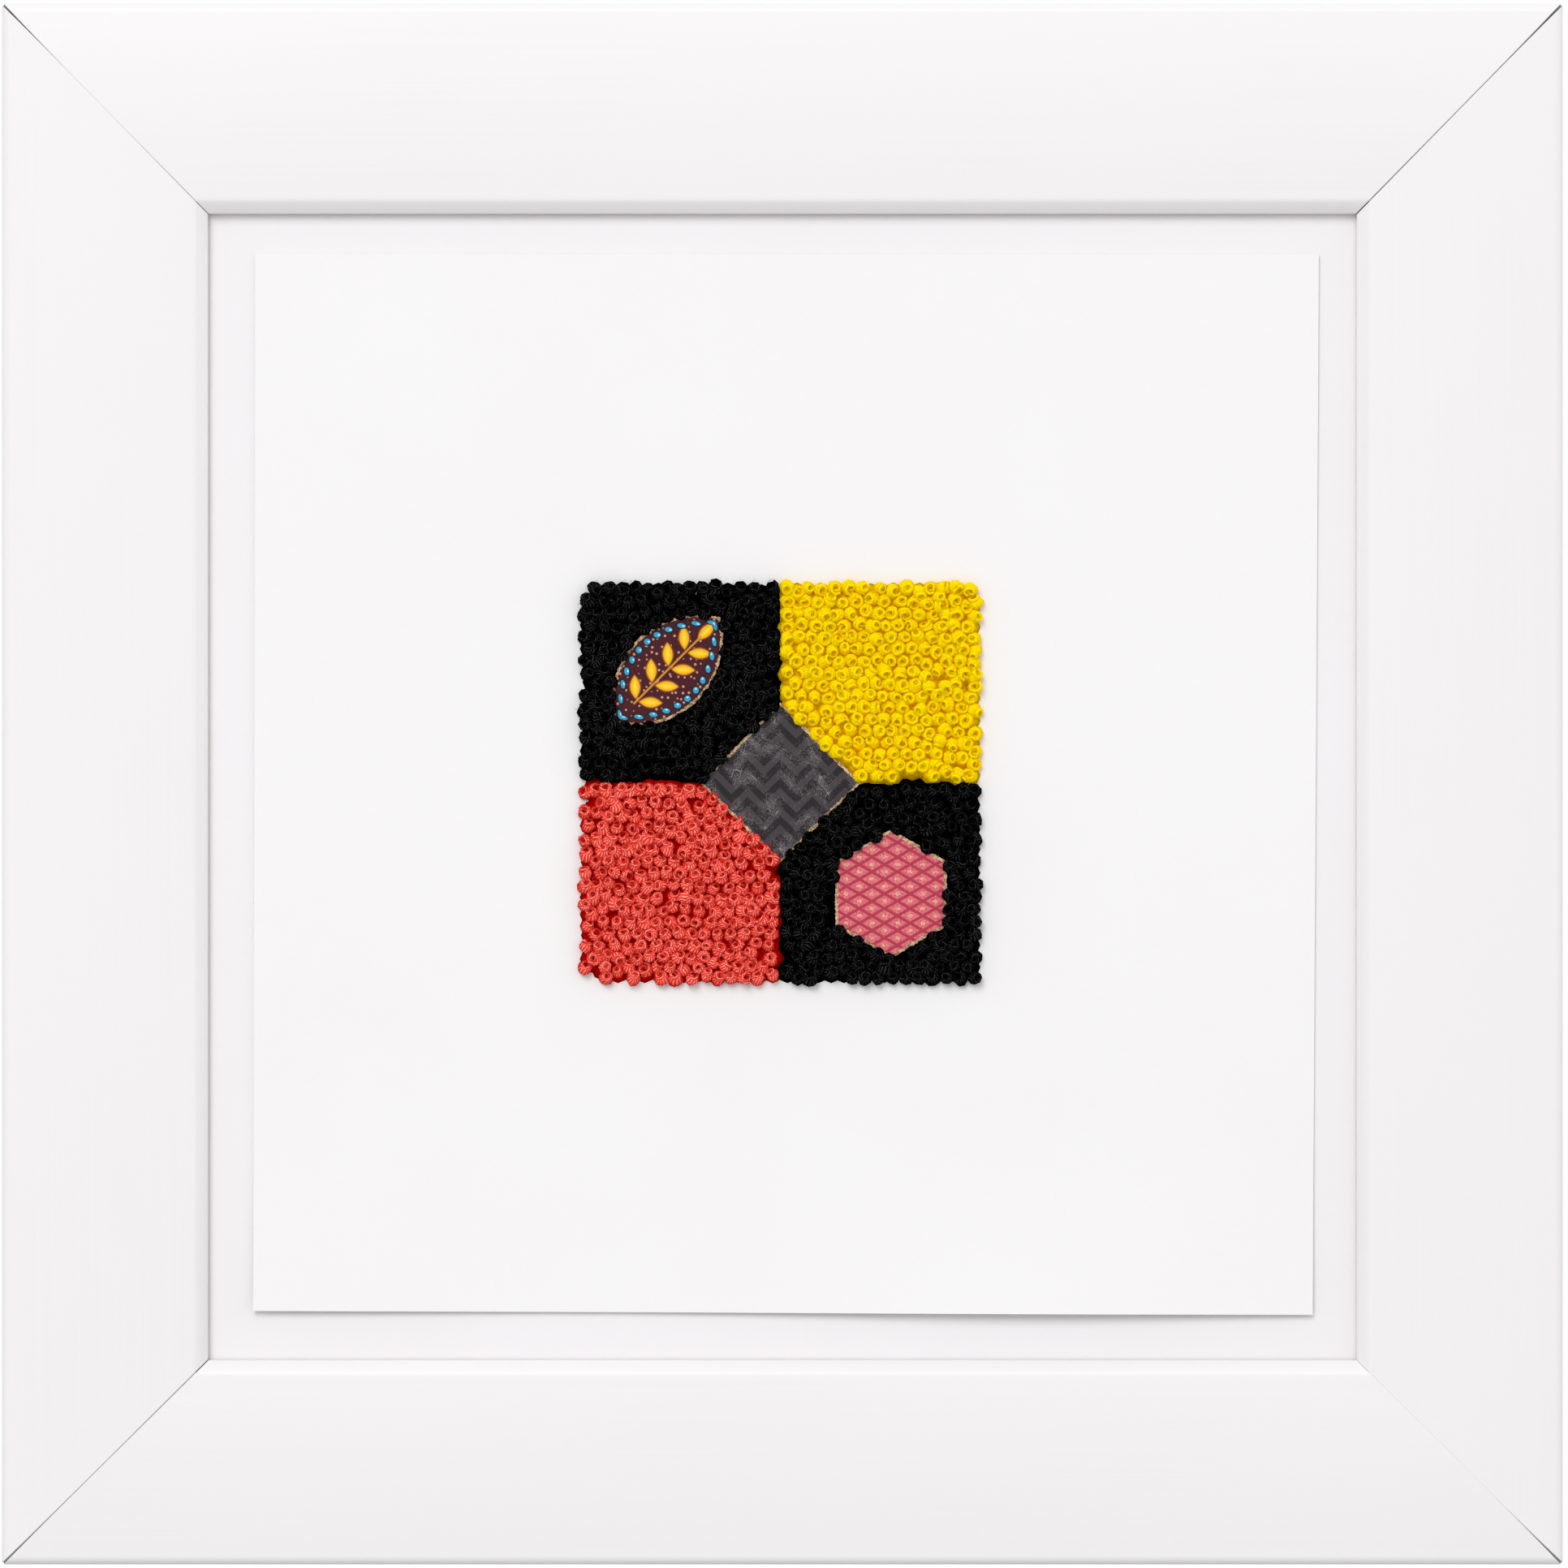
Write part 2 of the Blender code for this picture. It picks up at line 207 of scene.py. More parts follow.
# The strands of the thread, with the painted shade in their clefts and the painted highlight on their
# crests
STRANDS_ROUND_KNOT = 13
STRANDS_ROUND_THREAD = 3
STRANDS_LEAN = 5200.0  # radians to the metre, along the thread
STRANDS_STRAY = 3.0  # radians at most, by a noise
STRAY_SIZE = 0.001111  # of that noise
STRANDS_START = 6.0  # radians at most from one knot to another
STRAND_RELIEF = 0.00010
CREST_POWER = 0.6  # below 1 the crests are broad and the clefts narrow
CLEFT_REACH = 0.85  # of a crest's height, up to which the colour is sunk in painted shade
ON_THREAD = 0.3  # from the axis of a thread whose radius counts as 0.5
SUNK_BELOW = 0.0006  # height above the paper up to which the colour is sunk in painted shade
CLEAR_ABOVE = 0.0019
LOW_SHARE = 0.05  # of the full colour that is left down at the paper, under the painted shade
HAIR_WIDTH = 0.00014  # drawn coarser than cotton hairs are, so that they show
HAIR_ENDS = (0.28, 0.6)  # of the hairs' noise, where no painted highlight shows and where it shows on all

# Each cotton: its deep colour, painted shade in the clefts, holes and gaps and towards the paper;
# its colour on the strands; its light colour, a painted highlight on the hairs of the crests; how
# few of those there are; how plainly the strands show; how much light spreads inside it and how
# far in metres; and how much painted glow it gives as light of its own
COTTONS = {
    "coral": {
        "deep": "AC0200", "middle": "FF4A3B", "light": "FFC8B6", "crisp": 2.2,
        "strands": 1.1, "glow": 0.3, "softness": 0.0004, "painted_glow": 0.10,
    },
    "yellow": {
        "deep": "E4B000", "middle": "EBCB01", "light": "F4D806", "crisp": 1.0,
        "strands": 0.4, "glow": 0.7, "softness": 0.0012, "painted_glow": 0.14,
    },
    "black": {
        "deep": "000000", "middle": "010101", "light": "4A4A4C", "crisp": 2.6,
        "strands": 1.0, "glow": 0.0, "softness": 0.0004, "painted_glow": 0.0,
    },
}

# Wood, paper and board: the sizes of their patterns, fine ones as coarse as they need to show
GRAIN_WIDTH = 0.0005
GRAIN_LENGTH = 0.060
GRAIN_RELIEF = 0.00002
LACQUER_CLOUD = 0.04545
PAPER_TOOTH = 0.00035
BOARD_TOOTH = 0.0006
TOOTH_RELIEF = 0.00003
FIBRE_CLOUD = 0.03333

# The cut-outs
DIAMOND_HALF = 0.0140
LEAF_LENGTH = 0.0260
LEAF_WIDTH = 0.0150
LEAF_MIDDLE = (-0.0195, 0.0195)
LEAF_TURN = math.radians(-45)
LEAF_STEPS = 10
HEXAGON_RADIUS = 0.0112
HEXAGON_MIDDLE = (0.0192, -0.0192)
CARD_LIES_OFF = 0.00005  # from the paper under it
CARD_THICK = 0.0008
CARD_RIM = 0.00055  # bare card that shows round the print
CARD_FRAY = 0.00014
FRAY_OUTWARD = 0.3  # of the fray that goes past the card's outline
CARD_STEP = 0.0003
RIM_DROP = (0.00005, 0.0002)  # how far the torn edge lies below the print
PULP_GRAIN = 0.0003846  # drawn coarser than pulp is, so that it shows

# The printed sprig: leaves in pairs up a stem, and a row of beads inside the card's edge
SPRIG_PITCH = 0.0040
SPRIG_LEAF = (0.0043, 0.0020)
SPRIG_TURN = math.radians(48)
SPRIG_REACH = 0.0083  # of the stem, each way from the card's middle
SPRIG_OUT = 0.0019  # from the stem to the middle of a side leaf
SPRIG_TIP = 0.0012  # from the stem's end to the middle of the leaf on it
NO_LEAF = 9.0  # leaf widths away, for what lies past the stem
BEAD_PITCH = 0.00205
BEAD_RADIUS = 0.00058
BEAD_LINE = 0.80  # share of the way from the midrib to the card's edge
GLINT_OFF = (0.00018, -0.00018, 0.0)  # from a glint to the middle of its bead
SEED_PITCH = 0.0011
MAROON_GRAIN = 0.0003571  # the prints' grain is drawn coarser than it is, so that it shows

# Each print's inks in the order they were laid: what an ink goes by, where on that it is full and
# where it has gone, how much it covers at most, and its colour. Seeds go by a share of their
# pitch, leaves by the share of the way from midrib to edge, stem, beads and glints by metres, and
# the others by how plainly they show
SPRIG_INKS = (
    ("seed", 0.16, 0.24, 0.8, "D9A08A"),
    ("leaf", 1.0, 1.12, 1.0, "8E4416"),
    ("leaf", 0.74, 0.92, 1.0, "EBAE10"),
    ("leaf", 0.1, 0.6, 0.75, "FFDD38"),
    ("stem", 0.00010, 0.00022, 1.0, "D08A1E"),
    ("bead", BEAD_RADIUS * 1.2, BEAD_RADIUS * 1.4, 1.0, "1C0A10"),
    ("bead", BEAD_RADIUS * 0.85, BEAD_RADIUS, 1.0, "2E9CC4"),
    ("glint", 0.00012, 0.00024, 0.8, "D6F0F4"),
)

# The printed lattice
LATTICE_PITCH = 0.0022
LATTICE_TURN = math.radians(60)
PINK_GRAIN = 0.0003333
DOT_SHOWS = (0.70, 0.84)  # of the two waves' product, from where a dot begins to where it is full
LATTICE_INKS = (
    ("line", 0.05, 0.22, 0.9, "A62C40"),
    ("dot", 1.0, 0.0, 1.0, "E3BE92"),
)

# The printed herringbone
HERRINGBONE_HALF = 0.0028  # half the width of a zigzag
HERRINGBONE_BAND = 0.0016
BAND_EDGE = (0.45, 0.55)  # share of the band over which one grey turns into the other
GREY_SPECKLE = 0.0002381
GREY_CLOUD = 0.004167
SCRATCH_CURL = 0.00303  # how widely the scratches wind
SCRATCH_THIN = (0.002, 0.006)  # of that noise, from a scratch's full width to its edge
SCRATCH_WHERE = (0.45, 0.6)  # of the cloudy noise, where scratches begin and where they are full
HERRINGBONE_INKS = (
    ("dust", 0.42, 0.24, 0.5, "8F898B"),
    ("scratch", 1.0, 0.0, 0.45, "B9B3B2"),
)

# The stage
PICTURE_WIDTH = 0.27098  # what the photograph takes in at the frame's face
CAMERA_X = 0.00028
CAMERA_AWAY = 1.5
SENSOR = 36.0
FLOOR_BELOW = 0.06
FLOOR_HALF = 1.6
FLOOR_BEHIND = 0.5  # no further back, where the camera would see it below the frame
ROOM_LEVEL = 0.648  # light of the room in front of the work, level with it
ROOM_RIGHT = 0.20  # how much brighter it is to the right, where a pale wall throws light back
ROOM_CLIMB = 0.26  # and overhead
ROOM_SIDES = 0.40  # and to both sides rather than above and below
BACKDROP_FROM = 0.4  # how far behind the work's plane a way points where the backdrop is white
WINDOW_PLACE = (-1.8, -6.3, 4.0)  # from the middle of the frame
WINDOW_SIZE = 4.7
WINDOW_POWER = 300.0

# Where things are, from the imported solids
RAIL_BOXES = {name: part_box(name) for name in ("rail_top", "rail_right", "rail_bottom", "rail_left")}
FRAME_LOW = RAIL_BOXES["rail_bottom"][0].z
FRAME_HIGH = RAIL_BOXES["rail_top"][1].z
MIDDLE_Z = (FRAME_LOW + FRAME_HIGH) / 2
FRAME_DEPTH = -RAIL_BOXES["rail_top"][0].y - CROWN
REBATE_AT = FRAME_DEPTH - LIP_DEPTH
PAPER_FRONT = -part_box("mount_board")[0].y + PAPER_STANDS_OFF
CARD_BACK = PAPER_FRONT + CARD_LIES_OFF
CARD_FRONT = CARD_BACK + CARD_THICK
WORK_MIDDLE = Vector((FIELD_MIDDLE[0], 0, MIDDLE_Z + FIELD_MIDDLE[1]))


def linear(hexa):
    """An sRGB hex colour as linear red, green, blue and alpha."""
    parts = [int(hexa[i : i + 2], 16) / 255 for i in (0, 2, 4)]
    return [p / 12.92 if p <= 0.04045 else ((p + 0.055) / 1.055) ** 2.4 for p in parts] + [1.0]


def plug(node, links):
    """Set a node's inputs, each to a value, a socket, or a node, whose first output is meant.

    They come as a dictionary by name or number, or as a list from the first input on.
    """
    for key, value in links.items() if isinstance(links, dict) else enumerate(links):
        if isinstance(value, bpy.types.Node):
            value = next(socket for socket in value.outputs if socket.enabled)
        if isinstance(value, bpy.types.NodeSocket):
            node.id_data.links.new(value, node.inputs[key])
        else:
            node.inputs[key].default_value = value


def add_node(tree, kind, links=(), **settings):
    """One node, with its settings and its inputs.

    A kind that names no family of nodes is a kind of shader node.
    """
    named = kind.startswith(("GeometryNode", "NodeGroup"))
    made = tree.nodes.new(kind if named else "ShaderNode" + kind)
    for key, value in settings.items():
        setattr(made, key, value)
    plug(made, links)
    return made


def new_material(name, roughness):
    """A material, what adds a node to it, its shader and where a point lies on the object."""
    made = bpy.data.materials.new(name)
    made.use_nodes = True
    shader = made.node_tree.nodes["Principled BSDF"]
    shader.inputs["Roughness"].default_value = roughness
    add = partial(add_node, made.node_tree)
    return made, add, shader, add("TexCoord").outputs["Object"]


def swung(add, phase):
    """A wave from 0 to 1."""
    wave = add("Math", [phase], operation="SINE")
    return add("MapRange", [wave, -1.0, 1.0])


def mottled(add, place, size, ends, dark, light):
    """A colour between two, by a noise of that size spread between those ends, and its share."""
    noise = add("TexNoise", {"Vector": place, "Scale": 1 / size, "Detail": 3.0})
    share = add("MapRange", [noise, *ends])
    return add("Mix", {0: share, 6: linear(dark), 7: linear(light)}, data_type="RGBA"), share


def lacquer(name, grain):
    """White lacquer sprayed on fine-grained wood: satin, with the sanded grain as faint lines."""
    made, add, shader, place = new_material(name, roughness=0.42)
    stretched = add("Mapping", {"Vector": place, "Scale": grain})
    lines = add("TexNoise", {"Vector": stretched, "Scale": 1.0, "Detail": 3.0})
    cloudy = add("TexNoise", {"Vector": place, "Scale": 1 / LACQUER_CLOUD, "Detail": 2.0})
    both = add("Math", [lines, cloudy], operation="ADD")
    tint = add("Mix", {0: both, 6: linear("E5E3E4"), 7: linear("E9E7E8")}, data_type="RGBA")
    bump = add("Bump", {"Height": lines, "Strength": 0.25, "Distance": GRAIN_RELIEF})
    plug(shader, {"Base Color": tint, "Normal": bump})
    return made


def bare_wood(name, dark, light, grain):
    """Softwood as the plane or the saw left it: matt, with the grain as fine lines or flecks."""
    made, add, shader, place = new_material(name, roughness=0.85)
    stretched = add("Mapping", {"Vector": place, "Scale": grain})
    tint, _ = mottled(add, stretched, 1.0, (0.3, 0.7), dark, light)
    plug(shader, {"Base Color": tint})
    return made


def pressed_fibre(name, dark, light, tooth):
    """Cotton fibre pressed to a sheet: matt, with a fine tooth and a barely cloudy white."""
    made, add, shader, place = new_material(name, roughness=0.92)
    fine = add("TexNoise", {"Vector": place, "Scale": 1 / tooth, "Detail": 4.0})
    tint, _ = mottled(add, place, FIBRE_CLOUD, (0.0, 1.0), dark, light)
    bump = add("Bump", {"Height": fine, "Strength": 0.4, "Distance": TOOTH_RELIEF})
    plug(shader, {"Base Color": tint, "Normal": bump, "Specular IOR Level": 0.25})
    return made


def cotton(name, deep, middle, light, crisp, strands, glow, softness, painted_glow):
    """Soft cotton thread, twisted from strands, with painted highlights on their crests and painted
    shade in the clefts.

    Each thread carries how far along it a point is, and where it lies on the thread's section.
    The deep colour is painted shade: the colour sinks to it between the strands and towards the
    paper, the more so the plainer the strands are. The light colour is a painted highlight on the
    hairs of the crests. Light that passes through the fibres colours the shadows, and stands here
    as a painted glow, a little light of the cotton's own.
    """
    made, add, shader, place = new_material(name, roughness=0.85)
    carried = {}
    for key in ("strands", "thread_side", "thread_along", "tone"):
        carried[key] = add("Attribute", attribute_name=key).outputs
    side = carried["thread_side"]["Vector"]
    axes = add("SeparateXYZ", [side]).outputs
    angle = add("Math", [axes[1], axes[0]], operation="ARCTAN2")
    uneven = add("TexNoise", {"Vector": place, "Scale": 1 / STRAY_SIZE, "Detail": 1.0})
    phase = add("Math", [angle, carried["strands"]["Fac"]], operation="MULTIPLY")
    shifts = (
        (carried["thread_along"]["Fac"], STRANDS_LEAN),
        (uneven, STRANDS_STRAY),
        (carried["tone"]["Fac"], STRANDS_START),
    )
    for by, radians in shifts:
        phase = add("Math", [by, radians, phase], operation="MULTIPLY_ADD")
    crest = swung(add, phase)
    rounded = add("Math", [crest, CREST_POWER], operation="POWER")
    hairs = add("TexNoise", {"Vector": place, "Scale": 1 / HAIR_WIDTH, "Detail": 3.0})
    relief = add("Math", [rounded, strands, hairs], operation="MULTIPLY_ADD")
    bump = add("Bump", {"Height": relief, "Strength": 1.0, "Distance": STRAND_RELIEF})

    # Painted shade: the colour sinks to the deep one in the clefts between the strands, at the
    # bottoms of the holes and low down towards the paper. Feet and stray fibres carry no place on a
    # thread, so they keep the deep colour
    length = add("VectorMath", [side], operation="LENGTH").outputs["Value"]
    on_thread = add("MapRange", [length, 0.0, ON_THREAD])
    cleft_shade = add("MapRange", [rounded, 0.0, CLEFT_REACH, 1 - strands / 2, 1.0])
    # Painted shade low down, between the knots towards the paper
    out = add("SeparateXYZ", [place]).outputs[1]
    ends = [-(PAPER_FRONT + above) for above in (SUNK_BELOW, CLEAR_ABOVE)]
    height = add("MapRange", [out, *ends, LOW_SHARE, 1.0])
    shown = cleft_shade
    for share in (on_thread, height):
        shown = add("Math", [shown, share], operation="MULTIPLY")
    # The deep colour is painted shade where little of the strands' colour is left
    body = add("Mix", {0: shown, 6: linear(deep), 7: linear(middle)}, data_type="RGBA")

    # Painted highlight: the light colour on the hairs of the crests, on fewer of them the crisper it is
    stray = add("MapRange", [hairs, *HAIR_ENDS])
    highlight_share = shown
    for share in (stray, crest):
        highlight_share = add("Math", [highlight_share, share], operation="MULTIPLY")
    painted_highlight = add("Math", [highlight_share, crisp], operation="POWER")
    tint = add("Mix", {0: painted_highlight, 6: body, 7: linear(light)}, data_type="RGBA")
    plug(shader, {"Base Color": tint, "Normal": bump, "Specular IOR Level": 0.02})
    plug(shader, {"Subsurface Weight": glow, "Subsurface Scale": softness})
    plug(shader, {"Subsurface Radius": linear(middle)[:3]})
    # Painted glow: the colour gives a little light of its own, which lightens the shade
    plug(shader, {"Emission Color": tint, "Emission Strength": painted_glow})
    return made


def bare_card():
    """Grey-brown pulp core of card, torn where the scissors passed: matt and speckled."""
    made, add, shader, place = new_material("bare_card", roughness=0.9)
    tint, _ = mottled(add, place, PULP_GRAIN, (0.35, 0.65), "8A6238", "E2C69E")
    plug(shader, {"Base Color": tint})
    return made


def card_axes(add, place, middle, turn):
    """How far a point lies along and across a card that stands turned about its middle."""
    centred = add("Mapping", {"Vector": place, "Location": [-c for c in middle]})
    upright = add("VectorRotate", {"Vector": centred, "Angle": turn}, rotation_type="Y_AXIS")
    axes = add("SeparateXYZ", [upright])
    return axes.outputs[2], axes.outputs[0]


def inked(add, ground, inks, measures):
    """Inks laid one over another on a ground, each by what it is measured on."""
    for by, full, gone, most, colour in inks:
        share = add("MapRange", [measures[by], full, gone, most, 0.0])
        ground = add("Mix", {0: share, 6: ground, 7: linear(colour)}, data_type="RGBA")
    return ground


def printed_leaf(add, along, across, length, width):
    """From 0 on a small leaf's midrib to 1 at its edge and more beyond it, as a pointed oval."""
    run = add("Math", [along, 2 / length], operation="MULTIPLY")
    squared = add("Math", [run, run], operation="MULTIPLY")
    aside = add("Math", [across], operation="ABSOLUTE")
    return add("Math", [aside, 2 / width, squared], operation="MULTIPLY_ADD")


def repeated(add, along, pitch):
    """How far along a point lies from the middle of its own length of a row."""
    wrapped = add("Math", [along, pitch, 0.0], operation="WRAP")
    return add("Math", [wrapped, pitch / 2], operation="SUBTRACT")


def sprig_measures(add, along, across):
    """How far a point lies out from the sprig's leaves and from its stem."""
    aside = add("Math", [across], operation="ABSOLUTE")
    out = add("Math", [aside, SPRIG_OUT], operation="SUBTRACT")
    up = repeated(add, along, SPRIG_PITCH)
    pair = add("CombineXYZ", {0: out, 2: up})
    leaned = add("VectorRotate", {"Vector": pair, "Angle": -SPRIG_TURN}, rotation_type="Y_AXIS")
    leaf_axes = add("SeparateXYZ", [leaned]).outputs
    side_leaf = printed_leaf(add, leaf_axes[2], leaf_axes[0], *SPRIG_LEAF)
    above = add("Math", [along, SPRIG_REACH], operation="GREATER_THAN")
    below = add("Math", [along, -SPRIG_REACH], operation="LESS_THAN")
    past = add("Math", [above, below], operation="ADD")
    side_leaves = add("Math", [past, NO_LEAF, side_leaf], operation="MULTIPLY_ADD")
    tip = add("Math", [along, SPRIG_REACH + SPRIG_TIP], operation="SUBTRACT")
    tip_leaf = printed_leaf(add, tip, across, *SPRIG_LEAF)
    leaves = add("Math", [side_leaves, tip_leaf], operation="MINIMUM")
    stem = add("Math", [aside, past], operation="ADD")
    return leaves, stem


def bead_measures(add, along, across):
    """How far a point lies from the middle of the nearest bead and from the glint on it."""
    edge = printed_leaf(add, along, across, LEAF_LENGTH, LEAF_WIDTH)
    from_line = add("Math", [edge, BEAD_LINE], operation="SUBTRACT")
    off = add("Math", [from_line, LEAF_WIDTH / 2], operation="MULTIPLY")
    spot = add("CombineXYZ", [off, repeated(add, along, BEAD_PITCH)])
    lit = add("VectorMath", [spot, GLINT_OFF], operation="ADD")
    bead = add("VectorMath", [spot], operation="LENGTH")
    glint = add("VectorMath", [lit], operation="LENGTH")
    return bead.outputs["Value"], glint.outputs["Value"]


def sprig_print(middle, turn):
    """Coated card printed in maroon, barely glossy, with a yellow sprig and turquoise beads."""
    made, add, shader, place = new_material("sprig_print", roughness=0.6)
    along, across = card_axes(add, place, middle, turn)
    ground, _ = mottled(add, place, MAROON_GRAIN, (0.0, 1.0), "22060C", "571823")
    seeds = add("TexVoronoi", {"Vector": place, "Scale": 1 / SEED_PITCH, "Randomness": 0.7})
    leaves, stem = sprig_measures(add, along, across)
    bead, glint = bead_measures(add, along, across)
    measures = {"seed": seeds, "leaf": leaves, "stem": stem, "bead": bead, "glint": glint}
    tint = inked(add, ground, SPRIG_INKS, measures)
    plug(shader, {"Base Color": tint, "Specular IOR Level": 0.2})
    return made


def stripes(add, place, middle, turn, pitch):
    """A wave from 0 to 1 across a card, at that turn in the picture's plane."""
    across = card_axes(add, place, middle, turn)[1]
    phase = add("Math", [across, 2 * math.pi / pitch], operation="MULTIPLY")
    return swung(add, phase)


def lattice_print(middle):
    """Coated card printed in pink, barely glossy, with a darker lattice and tan dots between."""
    made, add, shader, place = new_material("lattice_print", roughness=0.6)
    first = stripes(add, place, middle, LATTICE_TURN, LATTICE_PITCH)
    second = stripes(add, place, middle, -LATTICE_TURN, LATTICE_PITCH)
    ground, patchy = mottled(add, place, PINK_GRAIN, (0.35, 0.65), "C74459", "E2828A")
    line = add("Math", [first, second], operation="MINIMUM")
    both = add("Math", [first, second], operation="MULTIPLY")
    dot = add("MapRange", [both, *DOT_SHOWS])
    broken = add("Math", [dot, patchy], operation="MULTIPLY")
    tint = inked(add, ground, LATTICE_INKS, {"line": line, "dot": broken})
    plug(shader, {"Base Color": tint, "Specular IOR Level": 0.2})
    return made


def herringbone_print(middle):
    """Coated card printed in warm greys, in faint herringbone, satin, scuffed and scratched."""
    made, add, shader, place = new_material("herringbone_print", roughness=0.55)
    along, across = card_axes(add, place, middle, 0.0)
    column = add("Math", [across, HERRINGBONE_HALF], operation="PINGPONG")
    climb = add("Math", [column, along], operation="ADD")
    band = add("Math", [climb, HERRINGBONE_BAND], operation="PINGPONG")
    step = add("MapRange", [band, *(share * HERRINGBONE_BAND for share in BAND_EDGE)])
    ground = add("Mix", {0: step, 6: linear("211D20"), 7: linear("3E383C")}, data_type="RGBA")
    speckle = add("TexNoise", {"Vector": place, "Scale": 1 / GREY_SPECKLE, "Detail": 3.0})
    cloudy = add("TexNoise", {"Vector": place, "Scale": 1 / GREY_CLOUD, "Detail": 3.0})
    worn = add("Math", [speckle, cloudy], operation="MULTIPLY")
    curl = add("TexNoise", {"Vector": place, "Scale": 1 / SCRATCH_CURL, "Detail": 1.0})
    centred = add("Math", [curl, 0.5], operation="SUBTRACT")
    near = add("Math", [centred], operation="ABSOLUTE")
    thin = add("MapRange", [near, *SCRATCH_THIN, 1.0, 0.0])
    here = add("MapRange", [cloudy, *SCRATCH_WHERE])
    scratch = add("Math", [thin, here], operation="MULTIPLY")
    tint = inked(add, ground, HERRINGBONE_INKS, {"dust": worn, "scratch": scratch})
    plug(shader, {"Base Color": tint, "Specular IOR Level": 0.2})
    return made


def mesh_from(name, points, faces, finishes, indices=None):
    """A mesh from points and faces, its faces turned outwards, with a finish for each face."""
    mesh = bpy.data.meshes.new(name)
    mesh.from_pydata(points, [], faces)
    for finish in finishes:
        mesh.materials.append(finish)
    if indices:
        mesh.polygons.foreach_set("material_index", indices)
    shaped = bmesh.new()
    shaped.from_mesh(mesh)
    bmesh.ops.recalc_face_normals(shaped, faces=shaped.faces)
    shaped.to_mesh(mesh)
    shaped.free()
    return mesh


def add_piece(name, mesh, node):
    """A finished piece of the object, riding on its one body, in place of a node's solid."""
    thing = bpy.data.objects.new(name, mesh)
    bpy.context.scene.collection.objects.link(thing)
    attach(thing, "root")
    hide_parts(node)
    return thing


def arc(centre, radius, start, end, steps):
    """Points of an arc, ends included, with angles in degrees."""
    made = []
    for i in range(steps + 1):
        angle = math.radians(start + (end - start) * i / steps)
        made.append((centre[0] + radius * math.cos(angle), centre[1] + radius * math.sin(angle)))
    return made


def moulding_profile():
    """The moulding's section: (in from the outer edge, out from the wall), clockwise."""
    face_end = RAIL_WIDTH - BEVEL_WIDTH
    face_width = face_end - OUTER_ROUND
    crown_radius = (face_width**2 / 4 + CROWN**2) / (2 * CROWN)
    crown_half = math.degrees(math.asin(face_width / 2 / crown_radius))
    crown_centre = (OUTER_ROUND + face_width / 2, FRAME_DEPTH + CROWN - crown_radius)
    outer_centre = (OUTER_ROUND, FRAME_DEPTH - OUTER_ROUND)
    slope = math.atan(BEVEL_DROP / BEVEL_WIDTH)
    bevel_faces = 90 - math.degrees(slope)
    between = math.radians(90 - crown_half + bevel_faces) / 2
    away = BEVEL_EASE / math.cos(math.radians(90 - crown_half - bevel_faces) / 2)
    ease_centre = (face_end - away * math.cos(between), FRAME_DEPTH - away * math.sin(between))
    bevel_runs = BEVEL_WIDTH - SIGHT_ROUND * (1 - math.sin(slope))
    sight_depth = FRAME_DEPTH - bevel_runs * math.tan(slope) - SIGHT_ROUND * math.cos(slope)
    sight_centre = (RAIL_WIDTH - SIGHT_ROUND, sight_depth)
    profile = [(0.0, 0.0)]
    profile += arc(outer_centre, OUTER_ROUND, 180, 90, OUTER_STEPS)
    profile += arc(crown_centre, crown_radius, 90 + crown_half, 90 - crown_half, CROWN_STEPS)[1:-1]
    profile += arc(ease_centre, BEVEL_EASE, 90 - crown_half, bevel_faces, EASE_STEPS)
    profile += arc(sight_centre, SIGHT_ROUND, bevel_faces, 0, SIGHT_STEPS)
    rebate_from = RAIL_WIDTH - REBATE_WIDTH
    return profile + [(RAIL_WIDTH, REBATE_AT), (rebate_from, REBATE_AT), (rebate_from, 0.0)]


def drawn_in(profile, distance):
    """A clockwise outline with every side moved inwards."""
    made = []
    count = len(profile)
    for i, point in enumerate(profile):
        before = Vector(point) - Vector(profile[i - 1])
        after = Vector(profile[(i + 1) % count]) - Vector(point)
        sides = [Vector((d.y, -d.x)).normalized() for d in (before, after)]
        way = (sides[0] + sides[1]) / (1 + sides[0].dot(sides[1]))
        made.append(tuple(Vector(point) + way * distance))
    return made


def opening(mitre, share):
    """How wide a mitre stands open, share of the way in from the outer edge."""
    outer, middle, inner = MITRES[mitre]
    if share < 0.5:
        return middle + (outer - middle) * (1 - share * 2) ** 3
    return middle + (inner - middle) * (share * 2 - 1)


